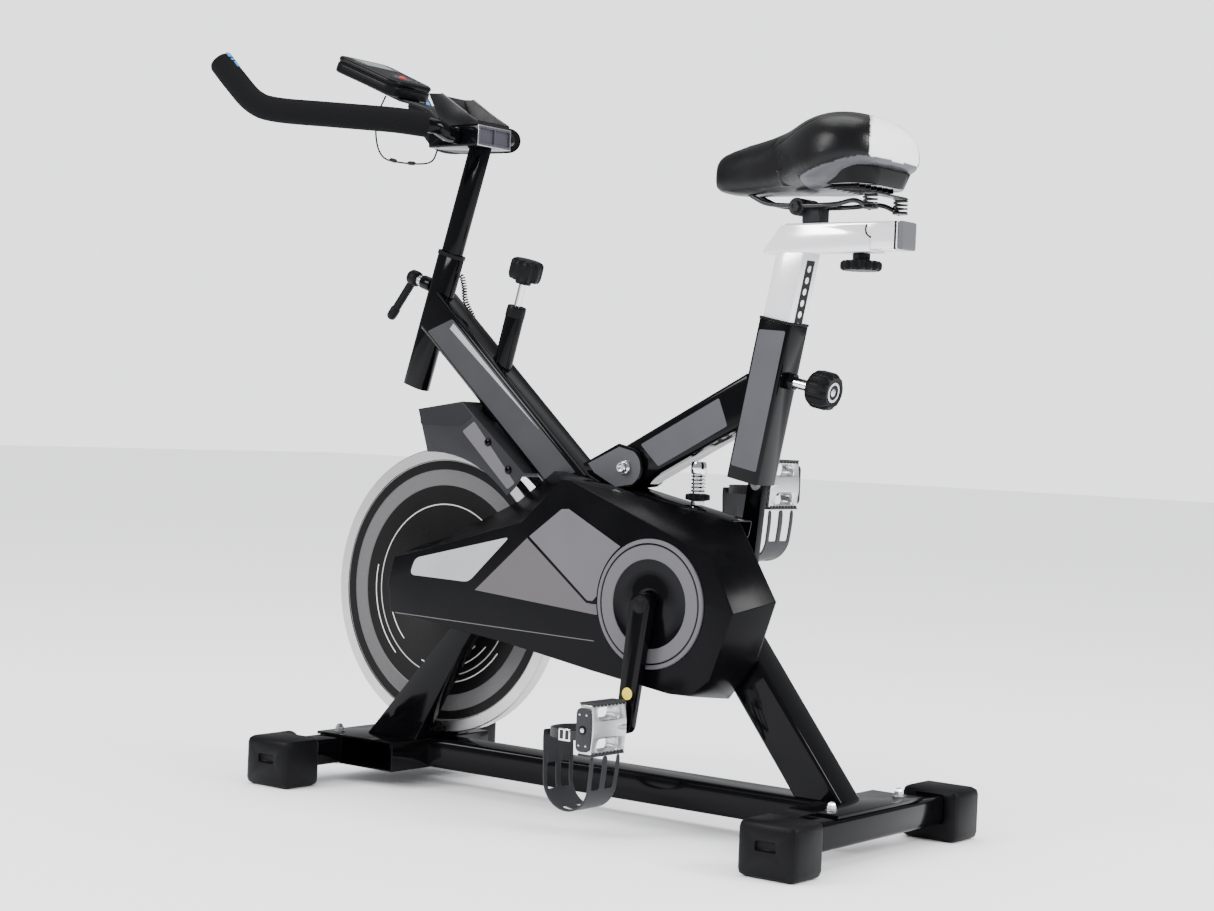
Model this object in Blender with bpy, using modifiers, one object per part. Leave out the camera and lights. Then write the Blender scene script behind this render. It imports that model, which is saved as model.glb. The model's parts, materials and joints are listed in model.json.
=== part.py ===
"""Indoor cycling bike with a sprung seat arm, modelled as an assembly of separate pieces.

Metres, +Z up. The front of the bike faces -X and the rider's left side is -Y. Pieces are laid
out from the middle of the base and the whole bike is then moved so that the origin lies under
the centre of its bounding box.
"""
import math

import bmesh
import bpy
from mathutils import Matrix, Vector

# ---------------------------------------------------------------- driving dimensions
GAP = 0.0003                # between pieces that touch
RUN = 0.0002                # radial clearance of a shaft that turns

BASE_LENGTH = 0.990         # over the foot caps
BASE_WIDTH = 0.490
FOOT_LONG = 0.090
FOOT_WIDE = 0.072
FOOT_HIGH = 0.074
FOOT_SOCKET = 0.045         # how deep a cross tube goes into its cap
CROSS_LONG = 0.050          # section of the two cross tubes
CROSS_HIGH = 0.040
CROSS_BOTTOM = 0.026
RAIL_WIDE = 0.060
RAIL_HIGH = 0.0445
TUBE_WALL = 0.002
PLATE = 0.0045              # bolted flange
FLANGE_HALF = 0.112
WHEEL_RADIUS = 0.025        # transport wheels
WHEEL_WIDE = 0.020
WHEEL_PIN = 0.005

HEAD_DEEP = 0.047           # head tube section, in the side view and across
HEAD_WIDE = 0.026
HEAD_LENGTH = 0.213
HEAD_FOOT = (-0.398, 0.615)
HEAD_LEAN = math.radians(17.0)
POST_PLAY_DEEP = 0.002      # between the handlebar post and the inside of the head tube
POST_PLAY_WIDE = 0.0015
POST_DEEP = HEAD_DEEP - 2 * (TUBE_WALL + POST_PLAY_DEEP)
POST_WIDE = HEAD_WIDE - 2 * (TUBE_WALL + POST_PLAY_WIDE)
POST_INSERT = 0.062
BUSH_FLANGE = 0.006

DOWN_DEEP = 0.064
DOWN_WIDE = 0.052
DOWN_START = (-0.362, 0.739)
DOWN_END = (0.118, 0.314)
FORK_THICK = 0.026
FORK_INNER = 0.037
LEG_DEEP = 0.060
LEG_WIDE = 0.056
LEG_BITE = 0.001381         # how deep the down tube's end runs into the rear leg's front
LEG_OVER = 0.053960         # of the leg, above that place
LEG_SETBACK = 0.045         # of its foot from the rear cross tube
LEG_FOOT_Z = 0.050
FORK_SETBACK = 0.0370       # of its foot from the front cross tube
FORK_FOOT_LONG = 0.098
STRUT_DEEP = 0.026
STRUT_WIDE = 0.050
STRUT_START = (0.020, 0.470)
STRUT_END = (0.228, 0.428)

FLY_CENTRE = (-0.3151, 0.3003)
FLY_RADIUS = 0.2205
FLY_RIM = 0.030
FLY_RIM_THICK = 0.022
FLY_WEB_THICK = 0.009
FLY_HUB_RADIUS = 0.028
FLY_HUB_THICK = 0.056
FLY_AXLE = 0.008
CRANK_CENTRE = (0.1526, 0.3207)
CRANK_AXLE = 0.009
BRACKET_RADIUS = 0.024
BRACKET_HALF = 0.031
PULLEY_RADIUS = 0.080
PULLEY_RATIO = 4.0
PULLEY_Y = -0.090
PULLEY_THICK = 0.014
BELT_WIDE = 0.010
BELT_THICK = 0.0025
CRANK_LENGTH = 0.170
CRANK_ANGLE = math.radians(6.6)
CRANK_THICK = 0.014
CRANK_Y = 0.124
PEDAL_LONG = 0.088
PEDAL_HIGH = 0.074
PEDAL_THICK = 0.026
PEDAL_SPINDLE = 0.006
CAGE_RADIUS = 0.040         # round front of the toe cage
CAGE_WALL = 0.0025
CAGE_HALF = 0.034
STRAP_WIDE = 0.012
STRAP_THICK = 0.002
STRAP_STRAIGHT = 0.030
STRAP_STEPS = 10

GUARD_BACK = -0.0365        # the belt guard's open side
GUARD_FACE = -0.105
GUARD_WALL = 0.0025
DISC_RADIUS = 0.0909
DISC_THICK = 0.004

PIVOT = (0.044, 0.507)      # the seat arm's hinge bolt
PIVOT_BOLT = 0.006
CHEEK = 0.005
ARM_DEEP = 0.063
ARM_WIDE = 0.050
ARM_RISE = math.radians(28.0)
SEAT_TUBE_DEEP = 0.053
SEAT_TUBE_WIDE = 0.050
SEAT_TUBE_FOOT = (0.2415, 0.497)
SEAT_TUBE_LENGTH = 0.227
SEAT_LEAN = math.radians(11.2)
SEAT_POST_PLAY = 0.00175    # between the seat post and the inside of the seat tube
SEAT_POST_DEEP = SEAT_TUBE_DEEP - 2 * (TUBE_WALL + SEAT_POST_PLAY)
SEAT_POST_WIDE = SEAT_TUBE_WIDE - 2 * (TUBE_WALL + SEAT_POST_PLAY)
SEAT_POST_INSERT = 0.105
CHANNEL_BOTTOM = 0.8155
CHANNEL_HIGH = 0.0375
CHANNEL_WALL = 0.002
CHANNEL_FRONT = 0.257
CHANNEL_REAR = 0.431
SLIDER_WIDE = 0.0370
CHANNEL_HALF = SLIDER_WIDE / 2 + GAP + CHANNEL_WALL
SLIDER_HIGH = 0.0380
SLIDER_FRONT = 0.292
SLIDER_REAR = 0.471
KNOB_STUD = 0.004

BAR_RADIUS = 0.0125
GRIP_RADIUS = 0.0195
STEM_LONG = 0.100
STEM_WIDE = 0.078
STEM_HIGH = 0.032
STEM_BOTTOM = 0.985
STEM_REAR = -0.257
CONSOLE_SIZE = (0.130, 0.120, 0.027)
CONSOLE_CENTRE = (-0.490, 1.104)
CONSOLE_TILT = math.radians(22.0)
BUTTON_RADIUS = 0.006
BUTTON_TRAVEL = 0.0012

SIDES = (("left", -1), ("right", 1))

# ---------------------------------------------------------------- scene and helpers
for leftover in list(bpy.data.objects):
    bpy.data.objects.remove(leftover)

parts = bpy.data.collections.new("exercise_bike")
bpy.context.scene.collection.children.link(parts)
bike = bpy.data.objects.new("bike_origin", None)
parts.objects.link(bike)

MATERIALS = {
    "frame_black": ((0.012, 0.012, 0.013), 0.0, 0.22),
    "chrome": ((0.78, 0.78, 0.80), 1.0, 0.08),
    "satin_silver": ((0.62, 0.62, 0.64), 1.0, 0.32),
    "black_plastic": ((0.02, 0.02, 0.021), 0.0, 0.45),
    "guard_plastic": ((0.018, 0.018, 0.019), 0.0, 0.30),
    "rubber": ((0.02, 0.02, 0.02), 0.0, 0.75),
    "foam": ((0.018, 0.018, 0.02), 0.0, 0.90),
    "leather": ((0.018, 0.018, 0.018), 0.0, 0.40),
    "cast_iron": ((0.06, 0.06, 0.065), 0.8, 0.35),
    "red": ((0.55, 0.02, 0.03), 0.0, 0.40),
    "felt": ((0.30, 0.26, 0.20), 0.0, 0.95),
}


def material(name):
    """Return the named material, made on first use."""
    found = bpy.data.materials.get(name)
    if found:
        return found
    colour, metallic, roughness = MATERIALS[name]
    made = bpy.data.materials.new(name)
    made.use_nodes = True
    shader = made.node_tree.nodes["Principled BSDF"]
    shader.inputs["Base Color"].default_value = (*colour, 1.0)
    shader.inputs["Metallic"].default_value = metallic
    shader.inputs["Roughness"].default_value = roughness
    return made


def side(point, y=0.0):
    """Turn a side-view (x, z) pair into a 3-D point."""
    return Vector((point[0], y, point[1]))


def lean(angle):
    """Side-view direction that leans back from vertical by an angle."""
    return Vector((math.sin(angle), 0.0, math.cos(angle)))


def evaluated(obj):
    """Swap an object's data for its evaluated, welded, outward-facing mesh at the origin."""
    graph = bpy.context.evaluated_depsgraph_get()
    graph.update()
    mesh = bpy.data.meshes.new_from_object(obj.evaluated_get(graph))
    mesh.transform(obj.matrix_world)
    name = obj.name
    bpy.data.objects.remove(obj)
    work = bmesh.new()
    work.from_mesh(mesh)
    bmesh.ops.remove_doubles(work, verts=work.verts, dist=1e-6)
    bmesh.ops.dissolve_degenerate(work, edges=work.edges, dist=1e-6)
    bmesh.ops.recalc_face_normals(work, faces=work.faces)
    work.to_mesh(mesh)
    work.free()
    made = bpy.data.objects.new(name, mesh)
    made.name = name
    parts.objects.link(made)
    return made


def finish(obj, name, look, origin=None):
    """Name a piece, give it its material, parent it and put its origin on its axis."""
    obj.name = name
    obj.data.name = name
    obj.data.materials.clear()
    obj.data.materials.append(material(look))
    obj.data.shade_smooth()
    obj.data.set_sharp_from_angle(angle=math.radians(35))
    if origin is not None:
        obj.data.transform(Matrix.Translation(-origin))
        obj.location = origin
    obj.parent = bike
    return obj


def add_modifier(obj, kind, **settings):
    """Add a modifier with its settings and bake it into the mesh."""
    modifier = obj.modifiers.new(kind.lower(), kind)
    for key, value in settings.items():
        setattr(modifier, key, value)
    return evaluated(obj)


def boolean(target, tool, operation="DIFFERENCE"):
    """Cut or join with another solid, which is used up."""
    made = add_modifier(target, "BOOLEAN", object=tool, operation=operation, solver="EXACT")
    bpy.data.objects.remove(tool)
    return made


def box(size, centre, tilt=0.0, bevel=0.0, segments=2):
    """A block tilted in the side view, with rounded edges."""
    bpy.ops.mesh.primitive_cube_add(size=1.0)
    obj = bpy.context.object
    obj.data.transform(Matrix.Diagonal((*size, 1.0)))
    obj.matrix_world = Matrix.Translation(Vector(centre)) @ Matrix.Rotation(tilt, 4, "Y")
    if bevel:
        return add_modifier(obj, "BEVEL", width=bevel, segments=segments)
    return evaluated(obj)


def rod(radius, start, end, sides=24):
    """A solid cylinder between two points."""
    start, end = Vector(start), Vector(end)
    axis = end - start
    bpy.ops.mesh.primitive_cylinder_add(radius=radius, depth=axis.length, vertices=sides)
    obj = bpy.context.object
    turn = axis.to_track_quat("Z", "Y").to_matrix().to_4x4()
    obj.matrix_world = Matrix.Translation((start + end) / 2) @ turn
    return evaluated(obj)


def rounded(deep, wide, radius, steps=3):
    """Outline of a rectangle with round corners."""
    points = []
    for quarter, (sx, sy) in enumerate(((1, 1), (-1, 1), (-1, -1), (1, -1))):
        centre = (sx * (deep / 2 - radius), sy * (wide / 2 - radius))
        for step in range(steps + 1):
            angle = math.radians(90) * (quarter + step / steps)
            points.append((centre[0] + radius * math.cos(angle), centre[1] + radius * math.sin(angle)))
    return points


def prism(loops, thickness, place):
    """Extrude flat outlines, the later ones being holes, by a thickness about a placement."""
    curve = bpy.data.curves.new("outline", "CURVE")
    curve.dimensions = "2D"
    curve.fill_mode = "BOTH"
    curve.extrude = thickness / 2
    for loop in loops:
        spline = curve.splines.new("POLY")
        spline.points.add(len(loop) - 1)
        for point, (a, b) in zip(spline.points, loop):
            point.co = (a, b, 0.0, 1.0)
        spline.use_cyclic_u = True
    obj = bpy.data.objects.new("outline", curve)
    parts.objects.link(obj)
    obj.matrix_world = place
    return evaluated(obj)


def plate(outline, y_from, y_to, holes=()):
    """A flat piece in the side view between two Y values."""
    place = Matrix.Translation((0, (y_from + y_to) / 2, 0)) @ Matrix.Rotation(math.radians(90), 4, "X")
    return prism([outline, *holes], abs(y_to - y_from), place)


def frame_between(start, end):
    """Placement whose Z runs from start to end and whose Y stays across the bike."""
    along = (end - start).normalized()
    across = Vector((0, 1, 0)) if abs(along.y) < 0.5 else Vector((0, 0, 1))
    first = across.cross(along)
    turn = Matrix((first, across, along)).transposed().to_4x4()
    return Matrix.Translation((start + end) / 2) @ turn


def tube(deep, wide, start, end, radius, wall=0.0):
    """A rounded rectangular tube, hollow when it has a wall, between two points."""
    loops = [rounded(deep, wide, radius)]
    if wall:
        inner = max(radius - wall, 0.0008)
        loops.append(rounded(deep - 2 * wall, wide - 2 * wall, inner))
    return prism(loops, (end - start).length, frame_between(start, end))


def turned(profile, start, direction, sides=24):
    """Turn (radius, height) pairs, listed from top to bottom, about an axis from a point."""
    mesh = bpy.data.meshes.new("profile")
    work = bmesh.new()
    corners = [work.verts.new((radius, 0.0, height)) for radius, height in profile]
    for first, second in zip(corners, corners[1:]):
        work.edges.new((first, second))
    work.to_mesh(mesh)
    work.free()
    obj = bpy.data.objects.new("profile", mesh)
    parts.objects.link(obj)
    turn = Vector(direction).to_track_quat("Z", "Y").to_matrix().to_4x4()
    obj.matrix_world = Matrix.Translation(Vector(start)) @ turn
    return add_modifier(obj, "SCREW", steps=sides, render_steps=sides, use_merge_vertices=True,
                        merge_threshold=1e-5, use_normal_calculate=True)


def ring_profile(outer, inner, top, bottom):
    """Closed profile of a ring, listed down the outside and back up the bore."""
    return [(outer, top), (outer, bottom), (inner, bottom), (inner, top), (outer, top)]


def arc(centre, radius, from_deg, to_deg, steps):
    """Points along an arc in the side view."""
    points = []
    for step in range(steps + 1):
        angle = math.radians(from_deg + (to_deg - from_deg) * step / steps)
        points.append((centre[0] + radius * math.cos(angle), centre[1] + radius * math.sin(angle)))
    return points


def smooth_route(points, steps):
    """Catmull-Rom curve through hand-chosen points."""
    ends = [points[0] * 2 - points[1], *points, points[-1] * 2 - points[-2]]
    route = []
    for before, start, end, after in zip(ends, ends[1:], ends[2:], ends[3:]):
        for step in range(steps):
            t = step / steps
            route.append(0.5 * (2 * start + (end - before) * t
                                + (2 * before - 5 * start + 4 * end - after) * t * t
                                + (3 * start - before - 3 * end + after) * t ** 3))
    route.append(points[-1])
    return route


def wire(points, radius, resolution=2, caps=True):
    """A round bar or cord along a route."""
    curve = bpy.data.curves.new("wire", "CURVE")
    curve.dimensions = "3D"
    curve.bevel_depth = radius
    curve.bevel_resolution = resolution
    curve.use_fill_caps = caps
    spline = curve.splines.new("POLY")
    spline.points.add(len(points) - 1)
    for point, place in zip(spline.points, points):
        point.co = (*place, 1.0)
    obj = bpy.data.objects.new("wire", curve)
    parts.objects.link(obj)
    return evaluated(obj)


def loft(rings):
    """Skin a row of rings with equal point counts and close both ends."""
    mesh = bpy.data.meshes.new("loft")
    work = bmesh.new()
    rows = [[work.verts.new(point) for point in ring] for ring in rings]
    count = len(rows[0])
    for row, following in zip(rows, rows[1:]):
        for i in range(count):
            j = (i + 1) % count
            work.faces.new((row[i], row[j], following[j], following[i]))
    work.faces.new(rows[0])
    work.faces.new(rows[-1])
    bmesh.ops.recalc_face_normals(work, faces=work.faces)
    work.to_mesh(mesh)
    work.free()
    obj = bpy.data.objects.new("loft", mesh)
    parts.objects.link(obj)
    return obj


def grown(points, amount):
    """Push a closed outline out, corner by corner, by an amount."""
    area = sum(a[0] * b[1] - b[0] * a[1] for a, b in zip(points, points[1:] + points[:1]))
    sign = 1.0 if area > 0 else -1.0
    result = []
    for before, here, after in zip(points[-1:] + points[:-1], points, points[1:] + points[:1]):
        first = Vector((here[0] - before[0], here[1] - before[1])).normalized()
        second = Vector((after[0] - here[0], after[1] - here[1])).normalized()
        out_first = Vector((first.y, -first.x)) * sign
        out_second = Vector((second.y, -second.x)) * sign
        bisector = (out_first + out_second).normalized()
        reach = amount / max(bisector.dot(out_first), 0.4)
        result.append((here[0] + bisector.x * reach, here[1] + bisector.y * reach))
    return result


# ---------------------------------------------------------------- base
FRONT_X = -(BASE_LENGTH - FOOT_LONG) / 2
REAR_X = -FRONT_X
CROSS_MID = CROSS_BOTTOM + CROSS_HIGH / 2
CROSS_TOP = CROSS_BOTTOM + CROSS_HIGH
FLANGE_TOP = CROSS_TOP + GAP + PLATE
CROSS_HALF = BASE_WIDTH / 2 - FOOT_WIDE + FOOT_SOCKET - GAP
MEMBER_FRONT = FRONT_X + CROSS_LONG / 2 + GAP
MEMBER_REAR = MEMBER_FRONT + 0.110
RAIL_END = REAR_X - CROSS_LONG / 2 - GAP
LEG_FOOT = (REAR_X - LEG_SETBACK, LEG_FOOT_Z)
FORK_FRONT = FRONT_X + FORK_SETBACK
FORK_REAR = FORK_FRONT + FORK_FOOT_LONG


def make_cross_tube(x, name):
    """One cross tube; the front one carries the pins of the transport wheels."""
    cross = tube(CROSS_LONG, CROSS_HIGH, Vector((x, -CROSS_HALF, CROSS_MID)),
                 Vector((x, CROSS_HALF, CROSS_MID)), 0.006, TUBE_WALL)
    if x < 0:
        for _, way in SIDES:
            ear_y = way * (BASE_WIDTH / 2 - FOOT_WIDE - 0.036)
            front = x - CROSS_LONG / 2
            ear = box((0.034, 0.005, 0.024), (front - 0.0155, ear_y, WHEEL_Z))
            pin = rod(WHEEL_PIN, (WHEEL_X, ear_y, WHEEL_Z),
                      (WHEEL_X, ear_y + way * (WHEEL_WIDE + 0.008), WHEEL_Z))
            cross = boolean(cross, boolean(ear, pin, "UNION"), "UNION")
    finish(cross, name, "frame_black")


def make_wheels():
    """Transport wheels on the front cross tube."""
    for label, way in SIDES:
        inner = way * (BASE_WIDTH / 2 - FOOT_WIDE - 0.036 + 0.0030)
        bore = WHEEL_PIN + RUN
        profile = [(WHEEL_RADIUS - 0.002, WHEEL_WIDE), (WHEEL_RADIUS, WHEEL_WIDE - 0.002),
                   (WHEEL_RADIUS, 0.002), (WHEEL_RADIUS - 0.002, 0.0), (bore, 0.0),
                   (bore, WHEEL_WIDE), (WHEEL_RADIUS - 0.002, WHEEL_WIDE)]
        wheel = turned(profile, (WHEEL_X, inner, WHEEL_Z), (0, way, 0))
        finish(wheel, "transport_wheel_" + label, "rubber", Vector((WHEEL_X, inner, WHEEL_Z)))


def make_foot(x, way, name):
    """A foot cap with a socket for the cross tube and a shallow slot in its end."""
    middle = way * (BASE_WIDTH - FOOT_WIDE) / 2
    cap = box((FOOT_LONG, FOOT_WIDE, FOOT_HIGH), (x, middle, FOOT_HIGH / 2), bevel=0.010)
    inner = way * (BASE_WIDTH / 2 - FOOT_WIDE)
    socket = tube(CROSS_LONG + 2 * GAP, CROSS_HIGH + 2 * GAP, Vector((x, inner - way * 0.01, CROSS_MID)),
                  Vector((x, inner + way * FOOT_SOCKET, CROSS_MID)), 0.006)
    cap = boolean(cap, socket)
    slot = box((0.032, 0.012, 0.013), (x, way * BASE_WIDTH / 2, FOOT_HIGH * 0.58), bevel=0.002, segments=1)
    finish(boolean(cap, slot), name, "black_plastic")


WHEEL_X = FRONT_X - CROSS_LONG / 2 - WHEEL_RADIUS - 0.002
WHEEL_Z = 0.0455

make_cross_tube(FRONT_X, "front_stabilizer")
make_cross_tube(REAR_X, "rear_stabilizer")
make_wheels()
for end_name, end_x in (("front", FRONT_X), ("rear", REAR_X)):
    for side_name, side_way in SIDES:
        make_foot(end_x, side_way, f"foot_cap_{end_name}_{side_name}")


def make_base_frame():
    """Centre rail welded to a front member and a rear flange that lie on the cross tubes."""
    lip_front, lip_rear = FRONT_X - CROSS_LONG / 2, REAR_X + CROSS_LONG / 2
    outline = [(lip_front, CROSS_TOP + GAP), (MEMBER_FRONT, CROSS_TOP + GAP),
               (MEMBER_FRONT, CROSS_BOTTOM), (MEMBER_REAR, CROSS_BOTTOM),
               (MEMBER_REAR, FLANGE_TOP), (lip_front, FLANGE_TOP)]
    member = plate(outline, -FLANGE_HALF, FLANGE_HALF)
    wall = 0.003
    hollow = box((MEMBER_REAR - MEMBER_FRONT - 2 * wall, 2 * FLANGE_HALF + 0.01,
                  FLANGE_TOP - CROSS_BOTTOM - 2 * wall),
                 ((MEMBER_FRONT + MEMBER_REAR) / 2, 0, (CROSS_BOTTOM + FLANGE_TOP) / 2))
    member = boolean(member, hollow)
    rail_z = FLANGE_TOP - 0.0002 - RAIL_HIGH / 2
    rail = tube(RAIL_HIGH, RAIL_WIDE, side((MEMBER_REAR - 0.001, rail_z)), side((RAIL_END, rail_z)),
                0.006, TUBE_WALL)
    flange_front = RAIL_END - 0.030
    flange = box((lip_rear - flange_front, 2 * FLANGE_HALF, PLATE),
                 ((lip_rear + flange_front) / 2, 0, FLANGE_TOP - PLATE / 2))
    frame = boolean(boolean(rail, member, "UNION"), flange, "UNION")
    finish(frame, "base_frame", "frame_black")


make_base_frame()

# ---------------------------------------------------------------- main frame
head_axis = lean(HEAD_LEAN)
head_foot = side(HEAD_FOOT)
head_top = head_foot + head_axis * HEAD_LENGTH
head_across = Vector((math.cos(HEAD_LEAN), 0, -math.sin(HEAD_LEAN)))
LEVER_ALONG = 0.160
BOSS_RADIUS = 0.011
BOSS_LENGTH = 0.018
lever_point = head_foot + head_axis * LEVER_ALONG - head_across * (HEAD_DEEP / 2)
down_start, down_end = side(DOWN_START), side(DOWN_END)
bracket_centre = side(CRANK_CENTRE)
down_way = (down_end - down_start).normalized()
down_normal = Vector((-down_way.z, 0, down_way.x))


def leg_top_point():
    """Top of the rear leg, which always leans against the end of the down tube."""
    foot = side(LEG_FOOT)
    to_corner = down_end + down_normal * (DOWN_DEEP / 2) - foot
    behind = LEG_DEEP / 2 - LEG_BITE
    heading = math.atan2(to_corner.z, to_corner.x) - math.asin(behind / to_corner.length)
    reach = math.sqrt(to_corner.length ** 2 - behind ** 2) + LEG_OVER
    return foot + Vector((math.cos(heading), 0, math.sin(heading))) * reach


leg_top = leg_top_point()
fly_centre = side(FLY_CENTRE)
brake_axis = (side((-0.183, 0.797)) - fly_centre).normalized()
BRAKE_TUBE = 0.0145
BRAKE_TUBE_FROM = FLY_RADIUS + 0.0475
BRAKE_TUBE_TO = 0.457


def bracket_solid(extra):
    """The bottom bracket's outside, grown by a clearance."""
    return rod(BRACKET_RADIUS + extra, side(CRANK_CENTRE, -0.06), side(CRANK_CENTRE, 0.06), 32)


def leg_solid(extra):
    """The rear leg's outside, grown by a clearance."""
    return tube(LEG_DEEP + 2 * extra, LEG_WIDE + 2 * extra, leg_top, side(LEG_FOOT), 0.006)


def down_solid(extra):
    """The down tube's outside, grown by a clearance."""
    return tube(DOWN_DEEP + 2 * extra, DOWN_WIDE + 2 * extra, down_start, down_end, 0.007)


def make_head_tube():
    """Head tube with the threaded boss of its clamp lever."""
    head = tube(HEAD_DEEP, HEAD_WIDE, head_foot, head_top, HEAD_WIDE / 2 - 0.0005, TUBE_WALL)
    boss = rod(BOSS_RADIUS, lever_point + head_across * 0.0012, lever_point - head_across * BOSS_LENGTH)
    head = boolean(head, boss, "UNION")
    bore = rod(0.0055, lever_point + head_across * 0.006, lever_point - head_across * (BOSS_LENGTH + 0.01))
    finish(boolean(head, bore), "head_tube", "frame_black")


def make_head_bush():
    """Plastic collar between the head tube's mouth and the handlebar post."""
    inside = (HEAD_DEEP - 2 * TUBE_WALL - 2 * GAP, HEAD_WIDE - 2 * TUBE_WALL - 2 * GAP)
    bore = rounded(POST_DEEP + 2 * GAP, POST_WIDE + 2 * GAP, POST_WIDE / 2 + GAP - 0.0005)
    low = head_top - head_axis * 0.030
    collar_from = head_top + head_axis * GAP
    collar_to = head_top + head_axis * BUSH_FLANGE
    sleeve = prism([rounded(*inside, inside[1] / 2 - 0.0005)], (collar_from - low).length + 0.001,
                   frame_between(low, collar_from + head_axis * 0.001))
    flange_part = prism([rounded(HEAD_DEEP + 0.002, HEAD_WIDE + 0.002, HEAD_WIDE / 2)],
                        (collar_to - collar_from).length, frame_between(collar_from, collar_to))
    hole = prism([bore], 0.08, frame_between(low - head_axis * 0.01, low + head_axis * 0.07))
    bush = boolean(boolean(sleeve, flange_part, "UNION"), hole)
    finish(bush, "head_bush", "black_plastic")


def make_down_tube():
    """Main tube from the head tube to the bottom bracket."""
    down = tube(DOWN_DEEP, DOWN_WIDE, down_start, down_end, 0.007, TUBE_WALL)
    head_cut = tube(HEAD_DEEP + 2 * GAP, HEAD_WIDE + 2 * GAP, head_foot - head_axis * 0.05,
                    head_top + head_axis * 0.05, HEAD_WIDE / 2 - 0.0005)
    ahead = box((0.10, 0.10, 0.40), head_foot + head_axis * 0.13 - head_across * 0.05, tilt=HEAD_LEAN)
    down = boolean(boolean(down, ahead), head_cut)
    down = boolean(down, bracket_solid(GAP))
    down = boolean(down, leg_solid(GAP))
    brake_cut = rod(BRAKE_TUBE + GAP, fly_centre + brake_axis * 0.20, fly_centre + brake_axis * 0.50, 20)
    finish(boolean(down, brake_cut), "down_tube", "frame_black")


def make_fork(label, way):
    """Fork leg with the dropout plate that holds the flywheel's axle."""
    low = FLANGE_TOP + GAP
    outline = [(FORK_FRONT, low), (FORK_REAR, low), (-0.226, 0.220), (-0.150, 0.330), (-0.178, 0.362),
               (-0.262, 0.333), *arc(FLY_CENTRE, 0.022, 90, 262, 6), (-0.240, 0.262)]
    inner, outer = way * FORK_INNER, way * (FORK_INNER + FORK_THICK)
    leg = plate(outline, inner, outer)
    cavity = [(FORK_FRONT + 0.015, low - 0.01), (FORK_REAR - 0.016, low - 0.01),
              (-0.240, 0.205), (-0.262, 0.225)]
    leg = boolean(leg, plate(cavity, inner + way * 0.003, outer - way * 0.003))
    bore = rod(FLY_AXLE + RUN, side(FLY_CENTRE, -0.2), side(FLY_CENTRE, 0.2), 32)
    finish(boolean(leg, bore), "fork_" + label, "frame_black")


def make_frame_stays():
    """Bottom bracket, rear leg, upper strut and the two fork ties."""
    shell = rod(BRACKET_RADIUS, side(CRANK_CENTRE, -BRACKET_HALF), side(CRANK_CENTRE, BRACKET_HALF), 32)
    bore = rod(CRANK_AXLE + RUN, side(CRANK_CENTRE, -0.1), side(CRANK_CENTRE, 0.1), 32)
    finish(boolean(shell, bore), "bottom_bracket", "frame_black")
    leg = tube(LEG_DEEP, LEG_WIDE, leg_top, side(LEG_FOOT), 0.006, TUBE_WALL)
    leg = boolean(leg, bracket_solid(GAP))
    floor_cut = box((0.4, 0.2, 0.1), (LEG_FOOT[0], 0, FLANGE_TOP + GAP - 0.05))
    finish(boolean(leg, floor_cut), "rear_leg", "frame_black")
    strut = tube(STRUT_DEEP, STRUT_WIDE, side(STRUT_START), side(STRUT_END), 0.005, TUBE_WALL)
    strut = boolean(boolean(strut, down_solid(GAP)), leg_solid(GAP))
    finish(strut, "rear_strut", "frame_black")


def make_brake_tube():
    """Guide tube of the brake, through the down tube towards the flywheel."""
    guide = turned(ring_profile(BRAKE_TUBE, 0.0065, BRAKE_TUBE_TO, BRAKE_TUBE_FROM),
                   fly_centre, brake_axis, 20)
    finish(guide, "brake_guide_tube", "frame_black")


make_head_tube()
make_head_bush()
make_down_tube()
for side_name, side_way in SIDES:
    make_fork(side_name, side_way)
make_frame_stays()
make_brake_tube()

# ---------------------------------------------------------------- flywheel and brake


def make_flywheel():
    """Cast flywheel with hub, thin web and heavy rim."""
    rim_in = FLY_RADIUS - FLY_RIM
    half_rim, half_web, half_hub = FLY_RIM_THICK / 2, FLY_WEB_THICK / 2, FLY_HUB_THICK / 2
    bore = FLY_AXLE + GAP
    profile = [(FLY_RADIUS - 0.002, half_rim), (FLY_RADIUS, half_rim - 0.002),
               (FLY_RADIUS, -half_rim + 0.002), (FLY_RADIUS - 0.002, -half_rim),
               (rim_in, -half_rim), (rim_in - 0.004, -half_web), (FLY_HUB_RADIUS, -half_web),
               (FLY_HUB_RADIUS, -half_hub), (bore, -half_hub), (bore, half_hub),
               (FLY_HUB_RADIUS, half_hub), (FLY_HUB_RADIUS, half_web), (rim_in - 0.004, half_web),
               (rim_in, half_rim), (FLY_RADIUS - 0.002, half_rim)]
    finish(turned(profile, fly_centre, (0, 1, 0), 48), "flywheel", "cast_iron", fly_centre)


def make_flywheel_drive():
    """Flywheel axle with the small pulley outside the left fork plate."""
    half = PULLEY_THICK / 2
    radius = PULLEY_RADIUS / PULLEY_RATIO
    right_end = FORK_INNER + FORK_THICK + 0.012
    profile = [(0.0, right_end), (FLY_AXLE, right_end), (FLY_AXLE, PULLEY_Y + half),
               (radius, PULLEY_Y + half), (radius, PULLEY_Y - half), (0.0, PULLEY_Y - half)]
    axle = turned(profile, fly_centre, (0, 1, 0), 32)
    finish(axle, "flywheel_axle", "satin_silver", fly_centre)


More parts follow.
